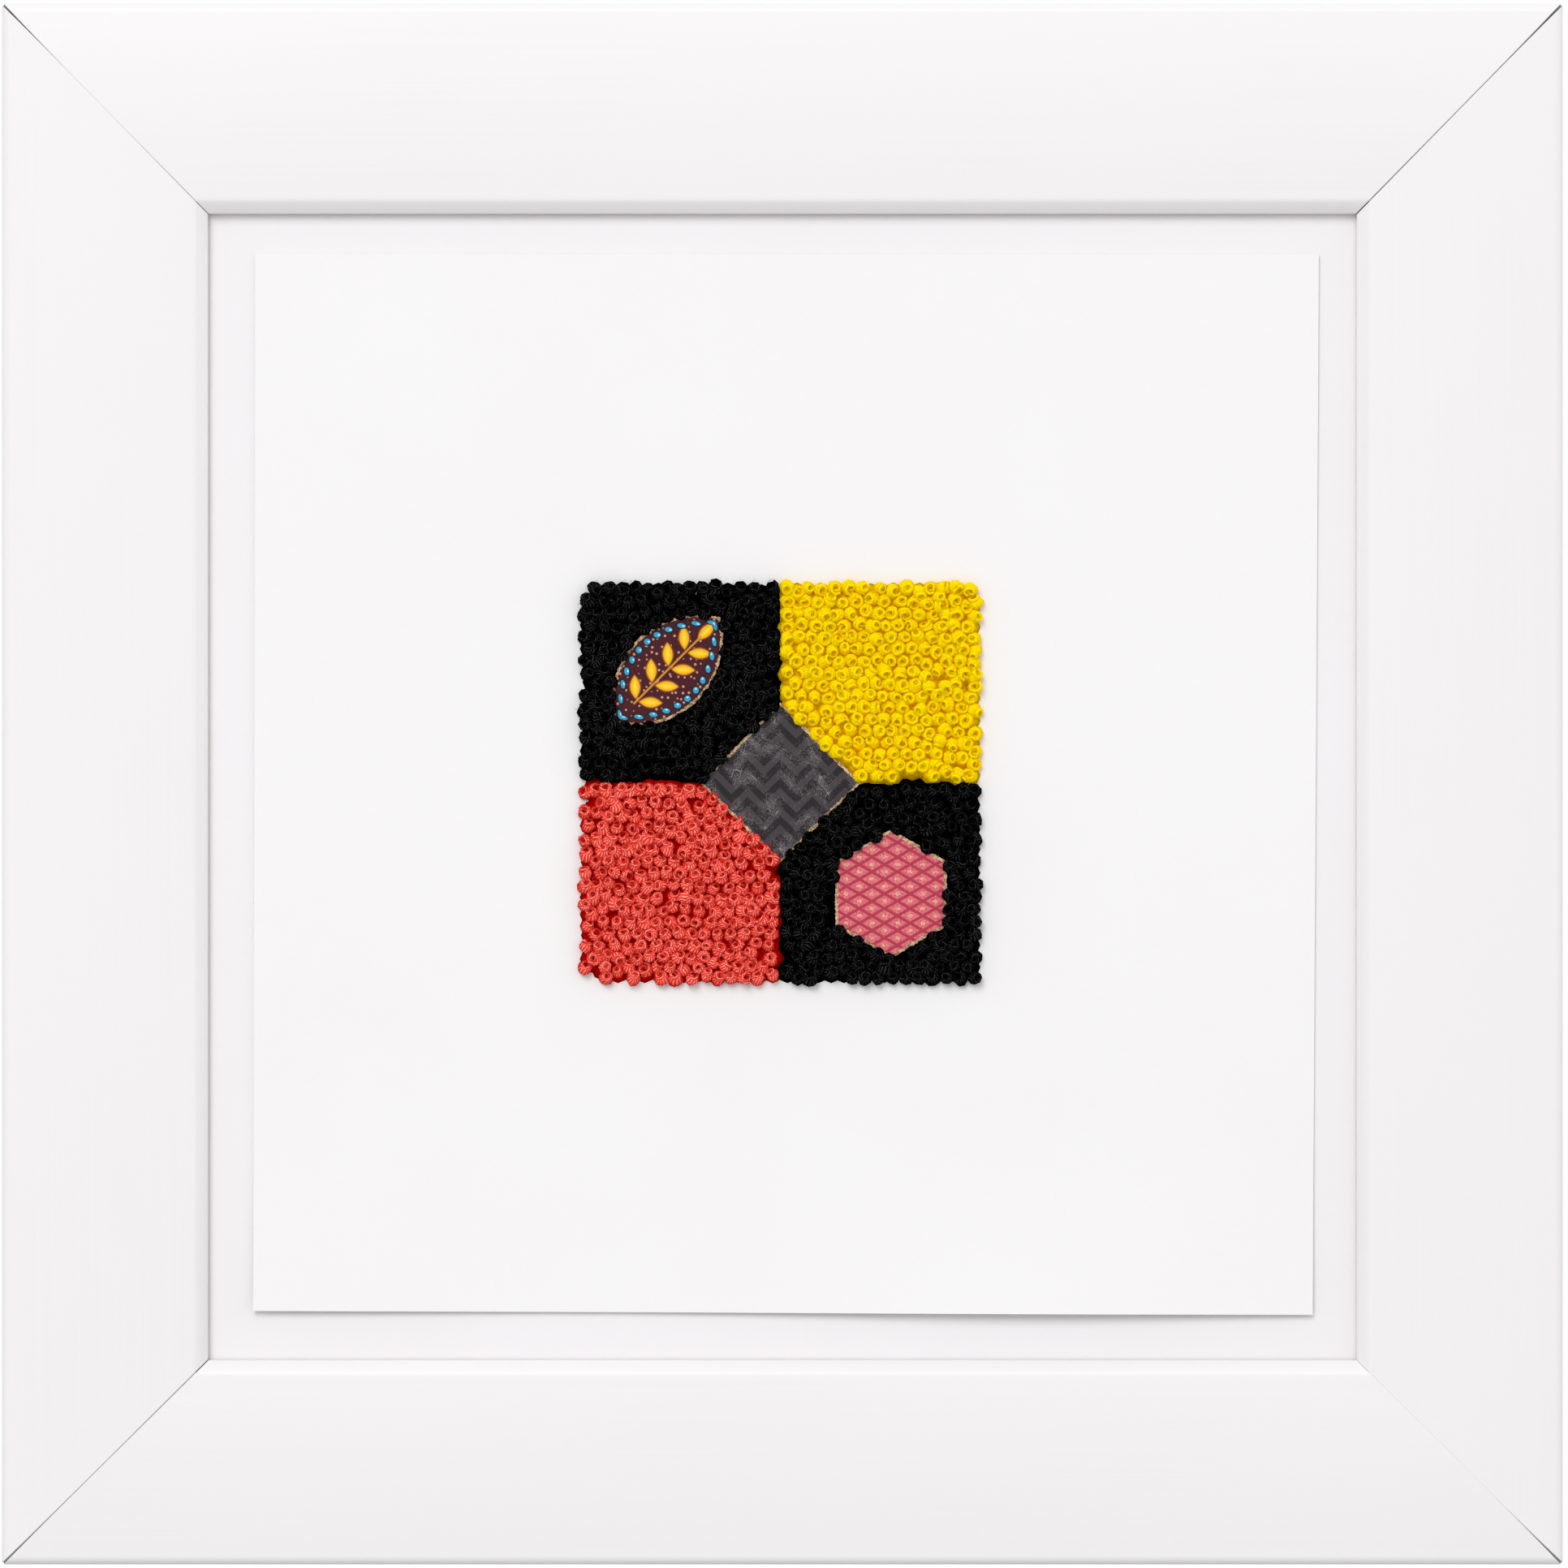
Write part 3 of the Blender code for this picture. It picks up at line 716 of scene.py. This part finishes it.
def rail_mesh(name, corners, names, finishes):
    """A length of moulding between two mitres, with a groove where each mitre has opened.

    Its finishes are the lacquer, the cut ends painted near black as the shade deep in the grooves, and
    the wood of its bare sides.
    """
    painted, cut, bare = range(3)
    profile = moulding_profile()
    eased = drawn_in(profile, ARRIS)
    core = drawn_in(profile, GROOVE_DEPTH)
    count = len(profile)
    along = (corners[1][0] - corners[0][0]).normalized()
    rings = []
    for (outer, inner), mitre, inward in zip(corners, names, (along, -along)):
        ends = []
        for outline, eases in ((core, None), (eased, 0.0), (profile, ARRIS * 2)):
            ring = []
            for (w, d), (w_drawn, d_drawn) in zip(profile, outline):
                clear = JOINT_TOUCH if eases is None else opening(mitre, w / RAIL_WIDTH) / 2 + eases
                place = outer.lerp(inner, w_drawn / RAIL_WIDTH) + inward * clear * math.sqrt(2)
                ring.append((place.x, -d_drawn, place.y))
            ends.append(ring)
        rings += ends if inward == along else ends[::-1]
    points = [point for ring in rings for point in ring]
    faces = [list(range(count)), list(range(len(points) - 1, len(points) - 1 - count, -1))]
    indices = [cut, cut]
    for ring in range(len(rings) - 1):
        for i in range(count):
            after = (i + 1) % count
            low = ring * count
            faces.append([low + i, low + after, low + count + after, low + count + i])
            outside = bare if i >= count - BARE_SIDES else painted
            indices.append(cut if ring in (0, len(rings) - 2) else outside)
    mesh = mesh_from(name, points, faces, finishes, indices)
    mesh.shade_smooth()
    mesh.set_sharp_from_angle(angle=MOULDING_SHARP)
    return mesh


def add_frame():
    """The frame's four lengths of moulding, each with the grain along it."""
    left, right = RAIL_BOXES["rail_left"], RAIL_BOXES["rail_right"]
    top, bottom = RAIL_BOXES["rail_top"], RAIL_BOXES["rail_bottom"]
    xs = (left[0].x, right[1].x, left[1].x, right[0].x)
    zs = (top[1].z, bottom[0].z, top[0].z, bottom[1].z)
    corners = {
        "top_left": (Vector((xs[0], zs[0])), Vector((xs[2], zs[2]))),
        "top_right": (Vector((xs[1], zs[0])), Vector((xs[3], zs[2]))),
        "bottom_right": (Vector((xs[1], zs[1])), Vector((xs[3], zs[3]))),
        "bottom_left": (Vector((xs[0], zs[1])), Vector((xs[2], zs[3]))),
    }
    names = list(corners)
    fine = 1 / GRAIN_WIDTH
    slow = 1 / GRAIN_LENGTH
    grains = {"across": (slow, fine, fine), "upright": (fine, fine, slow)}
    white = {}
    pine = {}
    for way, grain in grains.items():
        white[way] = lacquer("white_lacquer_" + way, grain)
        pine[way] = bare_wood("planed_pine_" + way, "A98255", "D2B083", grain)
    # Painted shade: the mitres' cut ends are near black, for the shade deep in the narrow grooves
    groove_shade = bare_wood("mitre_groove_shade", "1E181C", "4A3E40", (fine, fine, fine))
    for start, side in enumerate(("top", "right", "bottom", "left")):
        ends = (names[start], names[(start + 1) % len(names)])
        way = "across" if side in ("top", "bottom") else "upright"
        finishes = (white[way], groove_shade, pine[way])
        mesh = rail_mesh("frame_" + side, [corners[n] for n in ends], ends, finishes)
        add_piece("frame_" + side, mesh, "rail_" + side)


def faded(distance, reach):
    """1 at no distance, easing to 0 at reach."""
    t = max(0.0, 1.0 - distance / reach)
    return t * t


def sheet_lift(x, from_bottom):
    """How far the paper stands off, at x from the middle and so far from its lower edge."""
    along = LOWER_EDGE_LIFT
    for wave in WAVES:
        along += wave["lift"] * math.exp(-(((x - wave["at"]) / wave["reach"]) ** 2))
    return along * faded(from_bottom, LIFT_FADES_OVER)


def add_sheet():
    """The paper: a thin closed sheet, waved along its lower edge."""
    corners = {key: Vector((x, z + MIDDLE_Z)) for key, (x, z) in SHEET_CORNERS.items()}
    low = (corners["left_low"], corners["right_low"])
    high = (corners["left_high"], corners["right_high"])
    height = (high[0] - low[0]).length
    front, back = [], []
    for j in range(SHEET_ROWS + 1):
        v = (j / SHEET_ROWS) ** ROWS_CROWD
        for i in range(SHEET_COLUMNS + 1):
            u = i / SHEET_COLUMNS
            place = low[0].lerp(low[1], u).lerp(high[0].lerp(high[1], u), v)
            deep = PAPER_FRONT + sheet_lift(place.x, v * height)
            front.append((place.x, -deep, place.y))
            back.append((place.x, -(deep - SHEET_THICK), place.y))
    across = SHEET_COLUMNS + 1
    behind = len(front)
    faces = []
    for j in range(SHEET_ROWS):
        for i in range(SHEET_COLUMNS):
            cell = [j * across + i, j * across + i + 1, (j + 1) * across + i + 1, (j + 1) * across + i]
            faces.append(cell)
            faces.append([behind + k for k in reversed(cell)])
    rim = list(range(across))
    rim += [j * across + SHEET_COLUMNS for j in range(1, SHEET_ROWS + 1)]
    rim += [SHEET_ROWS * across + i for i in range(SHEET_COLUMNS - 1, -1, -1)]
    rim += [j * across for j in range(SHEET_ROWS - 1, 0, -1)]
    for k, here in enumerate(rim):
        after = rim[(k + 1) % len(rim)]
        faces.append([here, after, behind + after, behind + here])
    paper = pressed_fibre("cotton_rag_paper", "EBE9EA", "EFEEEE", PAPER_TOOTH)
    mesh = mesh_from("paper", front + back, faces, (paper,))
    mesh.shade_smooth()
    mesh.set_sharp_from_angle(angle=PAPER_SHARP)
    thing = add_piece("paper", mesh, "paper_sheet")


def finish_board():
    """The mount board keeps its solid and gets its finish."""
    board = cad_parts["mount_board"]
    finish = pressed_fibre("museum_board", "E8E6E7", "ECEAEC", BOARD_TOOTH)
    board.data.materials.clear()
    board.data.materials.append(finish)


def turned(outline, middle, turn):
    """An outline about its own middle, turned and moved into the knotted work, as (x, z)."""
    spin = Matrix.Rotation(turn, 2)
    at = Vector(middle) + Vector((WORK_MIDDLE.x, WORK_MIDDLE.z))
    return [tuple(spin @ Vector(p) + at) for p in outline]


def pointed_oval(length, width, steps):
    """Two arcs that meet at the tips, upright about the origin."""
    half_width = width / 2
    half_length = length / 2
    radius = (half_length**2 + half_width**2) / (2 * half_width)
    offset = radius - half_width
    sweep = math.degrees(math.acos(offset / radius))
    right = arc((-offset, 0), radius, -sweep, sweep, steps)
    left = [(-x, -z) for x, z in right]
    return right[:-1] + left[:-1]


def card_outlines():
    """The outlines of the three cards, counter-clockwise, in their places in the work."""
    half = DIAMOND_HALF
    diamond = [(half, 0), (0, half), (-half, 0), (0, -half)]
    leaf = pointed_oval(LEAF_LENGTH, LEAF_WIDTH, LEAF_STEPS)
    hexagon = arc((0, 0), HEXAGON_RADIUS, 30, 330, 5)
    return {
        "diamond": turned(diamond, (0, 0), 0),
        "leaf": turned(leaf, LEAF_MIDDLE, LEAF_TURN),
        "hexagon": turned(hexagon, HEXAGON_MIDDLE, 0),
    }


def outward(points, outline):
    """For each point, its distance outside a convex counter-clockwise outline, and the way out."""
    corners = np.array(outline)
    sides = np.roll(corners, -1, axis=0) - corners
    ways = np.stack([sides[:, 1], -sides[:, 0]], axis=1)
    ways /= np.linalg.norm(ways, axis=1)[:, None]
    reach = points @ ways.T - np.sum(corners * ways, axis=1)
    worst = np.argmax(reach, axis=1)
    return reach[np.arange(len(points)), worst], ways[worst]


def square_outline(middle, half):
    """A square's corners as (x, z), counter-clockwise from the lower left."""
    signs = ((-1, -1), (1, -1), (1, 1), (-1, 1))
    return [(middle[0] + half * right, middle[1] + half * up) for right, up in signs]


def first_places(square, windows, chance):
    """Close-packed places in a field, moved about a little, but none on an edge or a card."""
    left, low = square[0]
    row_pitch = KNOT_PITCH * math.sqrt(3) / 2
    rows = []
    for j in range(int(FIELD_SIDE / row_pitch) + 1):
        for i in range(int(FIELD_SIDE / KNOT_PITCH) + 1):
            across = (i + FIRST_KNOT + 0.5 * (j % 2)) * KNOT_PITCH
            rows.append((left + across, low + (j + FIRST_ROW) * row_pitch))
    jitter = chance.uniform(-PLACE_JITTER, PLACE_JITTER, (len(rows), 2)) * KNOT_PITCH
    points = np.array(rows) + jitter
    keep = -outward(points, square)[0] > KEPT_FROM * EDGE_MARGIN
    for window in windows:
        keep &= outward(points, window)[0] > KEPT_FROM * WINDOW_MARGIN
    return points[keep]


def pushed_apart(points, square, windows):
    """Places after near neighbours pushed each other apart, inside the field and off the cards."""
    for _ in range(RELAX_ROUNDS):
        apart = points[:, None] - points[None]
        gap = np.linalg.norm(apart, axis=2)
        np.fill_diagonal(gap, 1.0)
        short = np.clip(KNOT_SPACING - gap, 0, None)
        points = points + np.sum(apart / gap[..., None] * short[..., None] * PUSH_SHARE, axis=1)
        for _ in range(EDGE_ROUNDS):
            reach, way = outward(points, square)
            points = points - way * np.clip(reach + EDGE_MARGIN, 0, None)[:, None]
            for window in windows:
                reach, way = outward(points, window)
                points = points + way * np.clip(WINDOW_MARGIN - reach, 0, None)[:, None]
    return points


def foot_room(points, square, windows):
    """How far each knot's foot may spread on the paper."""
    whole = square_outline((WORK_MIDDLE.x, WORK_MIDDLE.z), FIELD_SIDE)
    room = -outward(points, square)[0] + FOOT_OVERLAP
    room = np.minimum(room, -outward(points, whole)[0] - FOOT_INSET)
    for window in windows:
        room = np.minimum(room, outward(points, window)[0] + FOOT_UNDER_CARD)
    return np.clip(room, FOOT_LEAST, FOOT_REACH)


def thread_mesh(add, geometry, strands, along, side):
    """Geometry that carries how many strands show round it, and where a point lies among them."""
    marks = (
        ("strands", "FLOAT", float(strands)),
        ("thread_side", "FLOAT_VECTOR", side),
        ("thread_along", "FLOAT", along),
    )
    for name, kind, value in marks:
        mark = {"Geometry": geometry, "Name": name, "Value": value}
        geometry = add("GeometryNodeStoreNamedAttribute", mark, data_type=kind)
    return geometry


def strayed(add, place, number, reach, scale, start):
    """A place moved a little from where it starts, by a noise of its own for each form."""
    by = {"Vector": place, "W": number * FORMS_APART, "Scale": scale, "Detail": 0.0}
    noise = add("TexNoise", by, noise_dimensions="4D").outputs["Color"]
    centred = add("VectorMath", [noise, (0.5,) * 3], operation="SUBTRACT")
    return add("VectorMath", [centred, (2 * reach,) * 3, start], operation="MULTIPLY_ADD")


def last_wrap(add, form, number, section):
    """The last wrap of thread: a ring round the hole, whose end goes down into it."""
    start, end = form["ends"]
    winding = {"Resolution": COIL_STEPS, "Rotations": form["turns"], "Height": COIL_RISE}
    ends = {"Start Radius": start, "End Radius": end}
    coil = add("GeometryNodeCurveSpiral", {**winding, **ends})
    share = add("GeometryNodeSplineParameter").outputs["Factor"]
    smooth = {"interpolation_type": "SMOOTHSTEP"}
    last = [share, DIVE_FROM, 1.0]
    reach = add("MapRange", [*last, 1.0, DIVE_IN], **smooth)
    top = form["rim"] * MILLIMETRE
    sunk = add("MapRange", [*last, top, top - DIVE_DEPTH], **smooth)
    draw_in = add("CombineXYZ", [reach, reach, 1.0])
    raised = add("CombineXYZ", {2: sunk})
    position = add("GeometryNodeInputPosition")
    place = add("VectorMath", [position, draw_in, raised], operation="MULTIPLY_ADD")
    wander = strayed(add, position, number, WRAP_WANDER, 1 / WRAP_UNEVEN, place)
    wound = add("GeometryNodeSetPosition", {"Geometry": coil, "Position": wander})
    upright = add("GeometryNodeSetCurveNormal", [wound], mode="Z_UP")
    length = add("GeometryNodeSplineParameter").outputs["Length"]
    measured = {"Geometry": upright, "Name": "thread_along", "Value": length}
    marked = add("GeometryNodeStoreNamedAttribute", measured, data_type="FLOAT")
    swept = {"Curve": marked, "Profile Curve": section, "Fill Caps": True}
    return add("GeometryNodeCurveToMesh", swept)


def knot_body(add, form, number):
    """A knot's body: its strands come up out of the hole, over the shoulder and down the side."""
    segments = {"Segments": KNOT_SEGMENTS, "Rings": KNOT_RINGS}
    ball = add("GeometryNodeMeshUVSphere", {**segments, "Radius": 1.0})
    place = add("GeometryNodeInputPosition")
    axes = add("SeparateXYZ", [place]).outputs
    flat = add("CombineXYZ", [axes[0], axes[1]])
    aside = add("VectorMath", [flat], operation="NORMALIZE")
    fallen = add("Math", [axes[2]], operation="ARCCOSINE")
    share = add("Math", [fallen, 1 / math.pi], operation="MULTIPLY")

    radii = [form[of] * part for of, part, _, _ in KNOT_SIDE]
    heights = [form.get(above, 0.0) + up for _, _, above, up in KNOT_SIDE]
    curves = []
    for values in (radii, heights):
        curve = add("FloatCurve", {"Value": share})
        curve.mapping.use_clip = False
        points = curve.mapping.curves[0].points
        for i, value in enumerate(values):
            point = points[i] if i < 2 else points.new(1.0, 0.0)
            point.location = (i / (len(values) - 1), value)
            point.handle_type = "VECTOR"
        curve.mapping.update()
        curves.append(curve)
    radius, height = curves
    angle = add("Math", [axes[1], axes[0]], operation="ARCTAN2")
    climb = add("Math", [height, WRAP_CLIMB, angle], operation="MULTIPLY_ADD")
    swell = add("Math", [climb], operation="SINE")
    wrapped = add("Math", [swell, KNOT_WRAP, 1.0], operation="MULTIPLY_ADD")
    reach = add("Math", [radius, wrapped], operation="MULTIPLY")
    around = add("VectorMath", {0: aside, "Scale": reach}, operation="SCALE")
    up = add("CombineXYZ", {2: height})
    whole = add("VectorMath", [around, up], operation="ADD")
    sized = add("VectorMath", {0: whole, "Scale": MILLIMETRE}, operation="SCALE")
    wander = strayed(add, place, number, KNOT_WANDER, KNOT_UNEVEN, sized)
    side = add("VectorMath", {0: aside, "Scale": 0.5}, operation="SCALE")
    run = add("Math", [share, KNOT_RUN], operation="MULTIPLY")
    marked = thread_mesh(add, ball, STRANDS_ROUND_KNOT, run, side)
    return add("GeometryNodeSetPosition", {"Geometry": marked, "Position": wander})


def knot_forms(add, width, height):
    """The forms of knot side by side as instances, with thread that wide and high."""
    circle = add("GeometryNodeCurvePrimitiveCircle", {"Resolution": THREAD_SIDES, "Radius": 0.5})
    position = add("GeometryNodeInputPosition")
    marked = thread_mesh(add, circle, STRANDS_ROUND_THREAD, 0.0, position)
    size = add("CombineXYZ", [width, height, 1.0])
    thread = add("GeometryNodeTransform", {"Geometry": marked, "Scale": size})
    forms = add("GeometryNodeJoinGeometry")
    for number, form in enumerate(KNOT_FORMS):
        whole = add("GeometryNodeJoinGeometry")
        plug(whole, [knot_body(add, form, number)])
        plug(whole, [last_wrap(add, form, number, thread)])
        plug(forms, [add("GeometryNodeGeometryToInstance", [whole])])
    return forms


def stray_fibre(add, width):
    """A thin bent fibre of that width."""
    start, bow, end = FIBRE_ARC
    bend = {"Resolution": FIBRE_STEPS, "Start": start, "Middle": bow, "End": end}
    bent = add("GeometryNodeCurveQuadraticBezier", bend)
    radius = add("Math", [width, 0.5], operation="MULTIPLY")
    hair = add("GeometryNodeCurvePrimitiveCircle", {"Resolution": FIBRE_SIDES, "Radius": radius})
    swept = {"Curve": bent, "Profile Curve": hair, "Fill Caps": True}
    return add("GeometryNodeCurveToMesh", swept)


def knot_tree():
    """Geometry nodes: on each point a form of knot, a low foot of thread and a stray fibre."""
    tree = bpy.data.node_groups.new("french_knots", "GeometryNodeTree")
    sockets = [("Geometry", "INPUT", "NodeSocketGeometry")]
    sockets += [(size, "INPUT", "NodeSocketFloat") for size in KNOT_SIZES]
    sockets += [("Cotton", "INPUT", "NodeSocketMaterial"), ("Geometry", "OUTPUT", "NodeSocketGeometry")]
    for name, in_out, kind in sockets:
        tree.interface.new_socket(name=name, in_out=in_out, socket_type=kind)
    add = partial(add_node, tree)
    given = add("NodeGroupInput").outputs
    carried = {}
    for name in ("lift", "turn", "size", "form", "foot"):
        kind = CARRIED[name][0]
        carried[name] = add("GeometryNodeInputNamedAttribute", {"Name": name}, data_type=kind)

    forms = knot_forms(add, given["Thread Width"], given["Thread Height"])
    lifted = add("GeometryNodeSetPosition", {0: given["Geometry"], "Offset": carried["lift"]})
    stance = {"Points": lifted, "Rotation": carried["turn"], "Scale": carried["size"]}
    picked = {"Instance": forms, "Pick Instance": True, "Instance Index": carried["form"]}
    knots = add("GeometryNodeInstanceOnPoints", {**stance, **picked})
    fibre = stray_fibre(add, given["Fibre Width"])
    fibres = add("GeometryNodeInstanceOnPoints", {**stance, "Instance": fibre})

    radii = {"Radius Top": FOOT_TOP, "Radius Bottom": 1.0}
    low = {"Vertices": FOOT_SIDES, "Depth": given["Foot Height"]}
    mound = add("GeometryNodeMeshCone", {**radii, **low})
    spread = add("CombineXYZ", [carried["foot"], carried["foot"], 1.0])
    laid = {"Points": given["Geometry"], "Instance": mound, "Rotation": UPRIGHT, "Scale": spread}
    feet = add("GeometryNodeInstanceOnPoints", laid)

    together = add("GeometryNodeJoinGeometry")
    for shapes in (feet, knots, fibres):
        plug(together, [shapes])
    real = add("GeometryNodeRealizeInstances", [together])
    smooth = add("GeometryNodeSetShadeSmooth", {"Geometry": real})
    finished = add("GeometryNodeSetMaterial", {0: smooth, "Material": given["Cotton"]})
    add("NodeGroupOutput", [finished])
    return tree


def scattered(name, tree, rows, values):
    """A plain mesh of what a tree sets on the rows' points, with its named inputs set."""
    points = bpy.data.meshes.new(name + "_points")
    points.from_pydata([row["at"] for row in rows], [], [])
    for key, (kind, field) in CARRIED.items():
        there = np.array([row[key] for row in rows]).ravel()
        points.attributes.new(key, kind, "POINT").data.foreach_set(field, there)
    holder = bpy.data.objects.new(name + "_points", points)
    bpy.context.scene.collection.objects.link(holder)
    modifier = holder.modifiers.new(name, "NODES")
    modifier.node_group = tree
    for item in tree.interface.items_tree:
        if item.item_type == "SOCKET" and item.in_out == "INPUT" and item.name in values:
            modifier[item.identifier] = values[item.name]
    seen = holder.evaluated_get(bpy.context.evaluated_depsgraph_get())
    made = bpy.data.meshes.new_from_object(seen)
    made.name = name
    bpy.data.objects.remove(holder)
    bpy.data.meshes.remove(points)
    return made


def tipped(lean, spread, chance):
    """A turn that stands a knot out from the wall, leaning its way and spun at random."""
    right = lean[0] + chance.gauss(0, spread)
    up = lean[1] + chance.gauss(0, spread)
    toward = Vector((right, -1, up)).normalized()
    tip = Vector((0, -1, 0)).rotation_difference(toward).to_matrix()
    spin = Matrix.Rotation(chance.uniform(0, 2 * math.pi), 3, "Z")
    return tuple((tip @ Matrix.Rotation(UPRIGHT[0], 3, "X") @ spin).to_euler())


def knot_row(place, foot, field, chance):
    """What one knot's point carries, drawn by chance."""
    across = KNOT_WIDTH[field["cotton"]] * chance.uniform(*SIZE_VARIES)
    tip = FALLEN_TIP if chance.random() < FALLEN_SHARE else KNOT_TIP
    return {
        "at": (place[0], -PAPER_FRONT, place[1]),
        "lift": (0.0, -chance.uniform(*KNOT_STANDS_OFF), 0.0),
        "turn": tipped(field["lean"], tip, chance),
        "size": (across * chance.uniform(*LENGTH_VARIES), across, chance.uniform(*HEIGHT_VARIES)),
        "form": chance.randrange(len(KNOT_FORMS)),
        "tone": chance.random(),
        "foot": foot,
    }


def add_knots(outlines):
    """The four fields of knots, around the cards that are let into them."""
    tree = knot_tree()
    cottons = {key: cotton(key + "_cotton", **look) for key, look in COTTONS.items()}
    for seed, (name, field) in enumerate(FIELDS.items()):
        right, up = field["at"]
        half = FIELD_SIDE / 2
        square = square_outline((WORK_MIDDLE.x + right * half, WORK_MIDDLE.z + up * half), half)
        windows = [outlines[cut] for cut in field["cuts"]]
        started = first_places(square, windows, np.random.default_rng(seed))
        places = pushed_apart(started, square, windows)
        room = foot_room(places, square, windows).tolist()
        chance = random.Random(seed + FIRST_SEED)
        rows = [knot_row(place, foot, field, chance) for place, foot in zip(places, room)]
        values = {**KNOT_SIZES, "Cotton": cottons[field["cotton"]]}
        mesh = scattered("knots_" + name + "_cotton", tree, rows, values)
        add_piece(mesh.name, mesh, "knots_" + name)


def card_mesh(name, outline, finishes, seed):
    """A card: its print stops short of the rim, where the bare card shows, a little frayed.

    Its finishes are the bare card and the print.
    """
    bare, printed = range(2)
    chance = random.Random(seed)
    middle = sum((Vector(p) for p in outline), Vector((0, 0))) / len(outline)
    rim, edge = [], []
    for i, point in enumerate(outline):
        corner = Vector(point)
        side = Vector(outline[(i + 1) % len(outline)]) - corner
        out = Vector((side.y, -side.x)).normalized()
        steps = max(1, round(side.length / CARD_STEP))
        for k in range(steps):
            here = corner + side * k / steps
            rim.append(here + out * chance.uniform(-CARD_FRAY, CARD_FRAY * FRAY_OUTWARD))
            shown = CARD_RIM + chance.uniform(-1, 1) * CARD_FRAY
            edge.append(here + (middle - here).normalized() * shown)
    count = len(rim)
    points = [(p.x, -CARD_BACK, p.y) for p in rim]
    points += [(p.x, -(CARD_FRONT - chance.uniform(*RIM_DROP)), p.y) for p in rim]
    points += [(p.x, -CARD_FRONT, p.y) for p in edge]
    faces = [list(range(count)), list(range(2 * count, 3 * count))]
    indices = [bare, printed]
    for ring in (0, count):
        for i in range(count):
            after = (i + 1) % count
            faces.append([ring + i, ring + after, ring + count + after, ring + count + i])
            indices.append(bare)
    return mesh_from(name, points, faces, finishes, indices)


def in_work(middle):
    """A place in the knotted work as a point on the object."""
    return (middle[0] + WORK_MIDDLE.x, 0.0, middle[1] + WORK_MIDDLE.z)


def add_cards(outlines):
    """The three printed cards, on the paper in the windows that the knots leave."""
    bare = bare_card()
    cards = (
        ("card_diamond", "diamond", herringbone_print(in_work((0, 0))), "grey_card"),
        ("card_leaf", "leaf", sprig_print(in_work(LEAF_MIDDLE), LEAF_TURN), "maroon_card"),
        ("card_lattice", "hexagon", lattice_print(in_work(HEXAGON_MIDDLE)), "pink_card"),
    )
    for seed, (name, cut, finish, slot) in enumerate(cards):
        mesh = card_mesh(name, outlines[cut], (bare, finish), seed)
        add_piece(name + "_print", mesh, name)


def add_floor():
    """A pale painted floor, some way below the hung frame."""
    low = FRAME_LOW - FLOOR_BELOW
    front = [(-FLOOR_HALF, -FLOOR_HALF, low), (FLOOR_HALF, -FLOOR_HALF, low)]
    corners = front + [(FLOOR_HALF, FLOOR_BEHIND, low), (-FLOOR_HALF, FLOOR_BEHIND, low)]
    mesh = bpy.data.meshes.new("floor")
    mesh.from_pydata(corners, [], [[0, 1, 2, 3]])
    finish, _, shader, _ = new_material("floor_paint", roughness=0.8)
    shader.inputs["Base Color"].default_value = linear("C8C8C8")
    mesh.materials.append(finish)
    floor = bpy.data.objects.new("floor", mesh)
    bpy.context.scene.collection.objects.link(floor)


def add_room():
    """The light of a pale room in front of the work, and a white backdrop behind it."""
    world = bpy.data.worlds.new("studio")
    bpy.context.scene.world = world
    world.use_nodes = True
    add = partial(add_node, world.node_tree)
    way = add("TexCoord").outputs["Generated"]
    right, behind, up = add("SeparateXYZ", [way]).outputs
    aside = add("Math", [right, right], operation="MULTIPLY")
    aloft = add("Math", [up, up], operation="MULTIPLY")
    sideways = add("Math", [aside, aloft], operation="SUBTRACT")
    room = ROOM_LEVEL
    for part, more in ((right, ROOM_RIGHT), (up, ROOM_CLIMB), (sideways, ROOM_SIDES)):
        room = add("Math", [part, more, room], operation="MULTIPLY_ADD")
    shown = add("MapRange", [behind, 0.0, BACKDROP_FROM, room, 1.0])
    plug(world.node_tree.nodes["Background"], {"Strength": shown, "Color": (1, 1, 1, 1)})


def add_window():
    """Broad soft light from a window in front of the work, above and to the left."""
    lamp = bpy.data.lights.new("window", "AREA")
    lamp.shape = "DISK"
    lamp.size = WINDOW_SIZE
    lamp.energy = WINDOW_POWER
    window = bpy.data.objects.new("window", lamp)
    away = Vector(WINDOW_PLACE)
    window.location = Vector((0, 0, MIDDLE_Z)) + away
    window.rotation_euler = (-away).to_track_quat("-Z", "Y").to_euler()
    bpy.context.scene.collection.objects.link(window)


def add_camera():
    """A camera face on to the work, with the photograph's framing."""
    scene = bpy.context.scene
    scene.view_settings.view_transform = "Standard"
    camera = bpy.data.objects.new("camera", bpy.data.cameras.new("camera"))
    camera.location = (CAMERA_X, -CAMERA_AWAY, MIDDLE_Z)
    camera.rotation_euler = (math.radians(90), 0, 0)
    camera.data.sensor_width = SENSOR
    camera.data.lens = SENSOR * (CAMERA_AWAY - FRAME_DEPTH) / PICTURE_WIDTH
    scene.collection.objects.link(camera)
    scene.camera = camera


add_frame()
finish_board()
add_sheet()
card_edges = card_outlines()
add_knots(card_edges)
add_cards(card_edges)
add_floor()
add_room()
add_window()
add_camera()
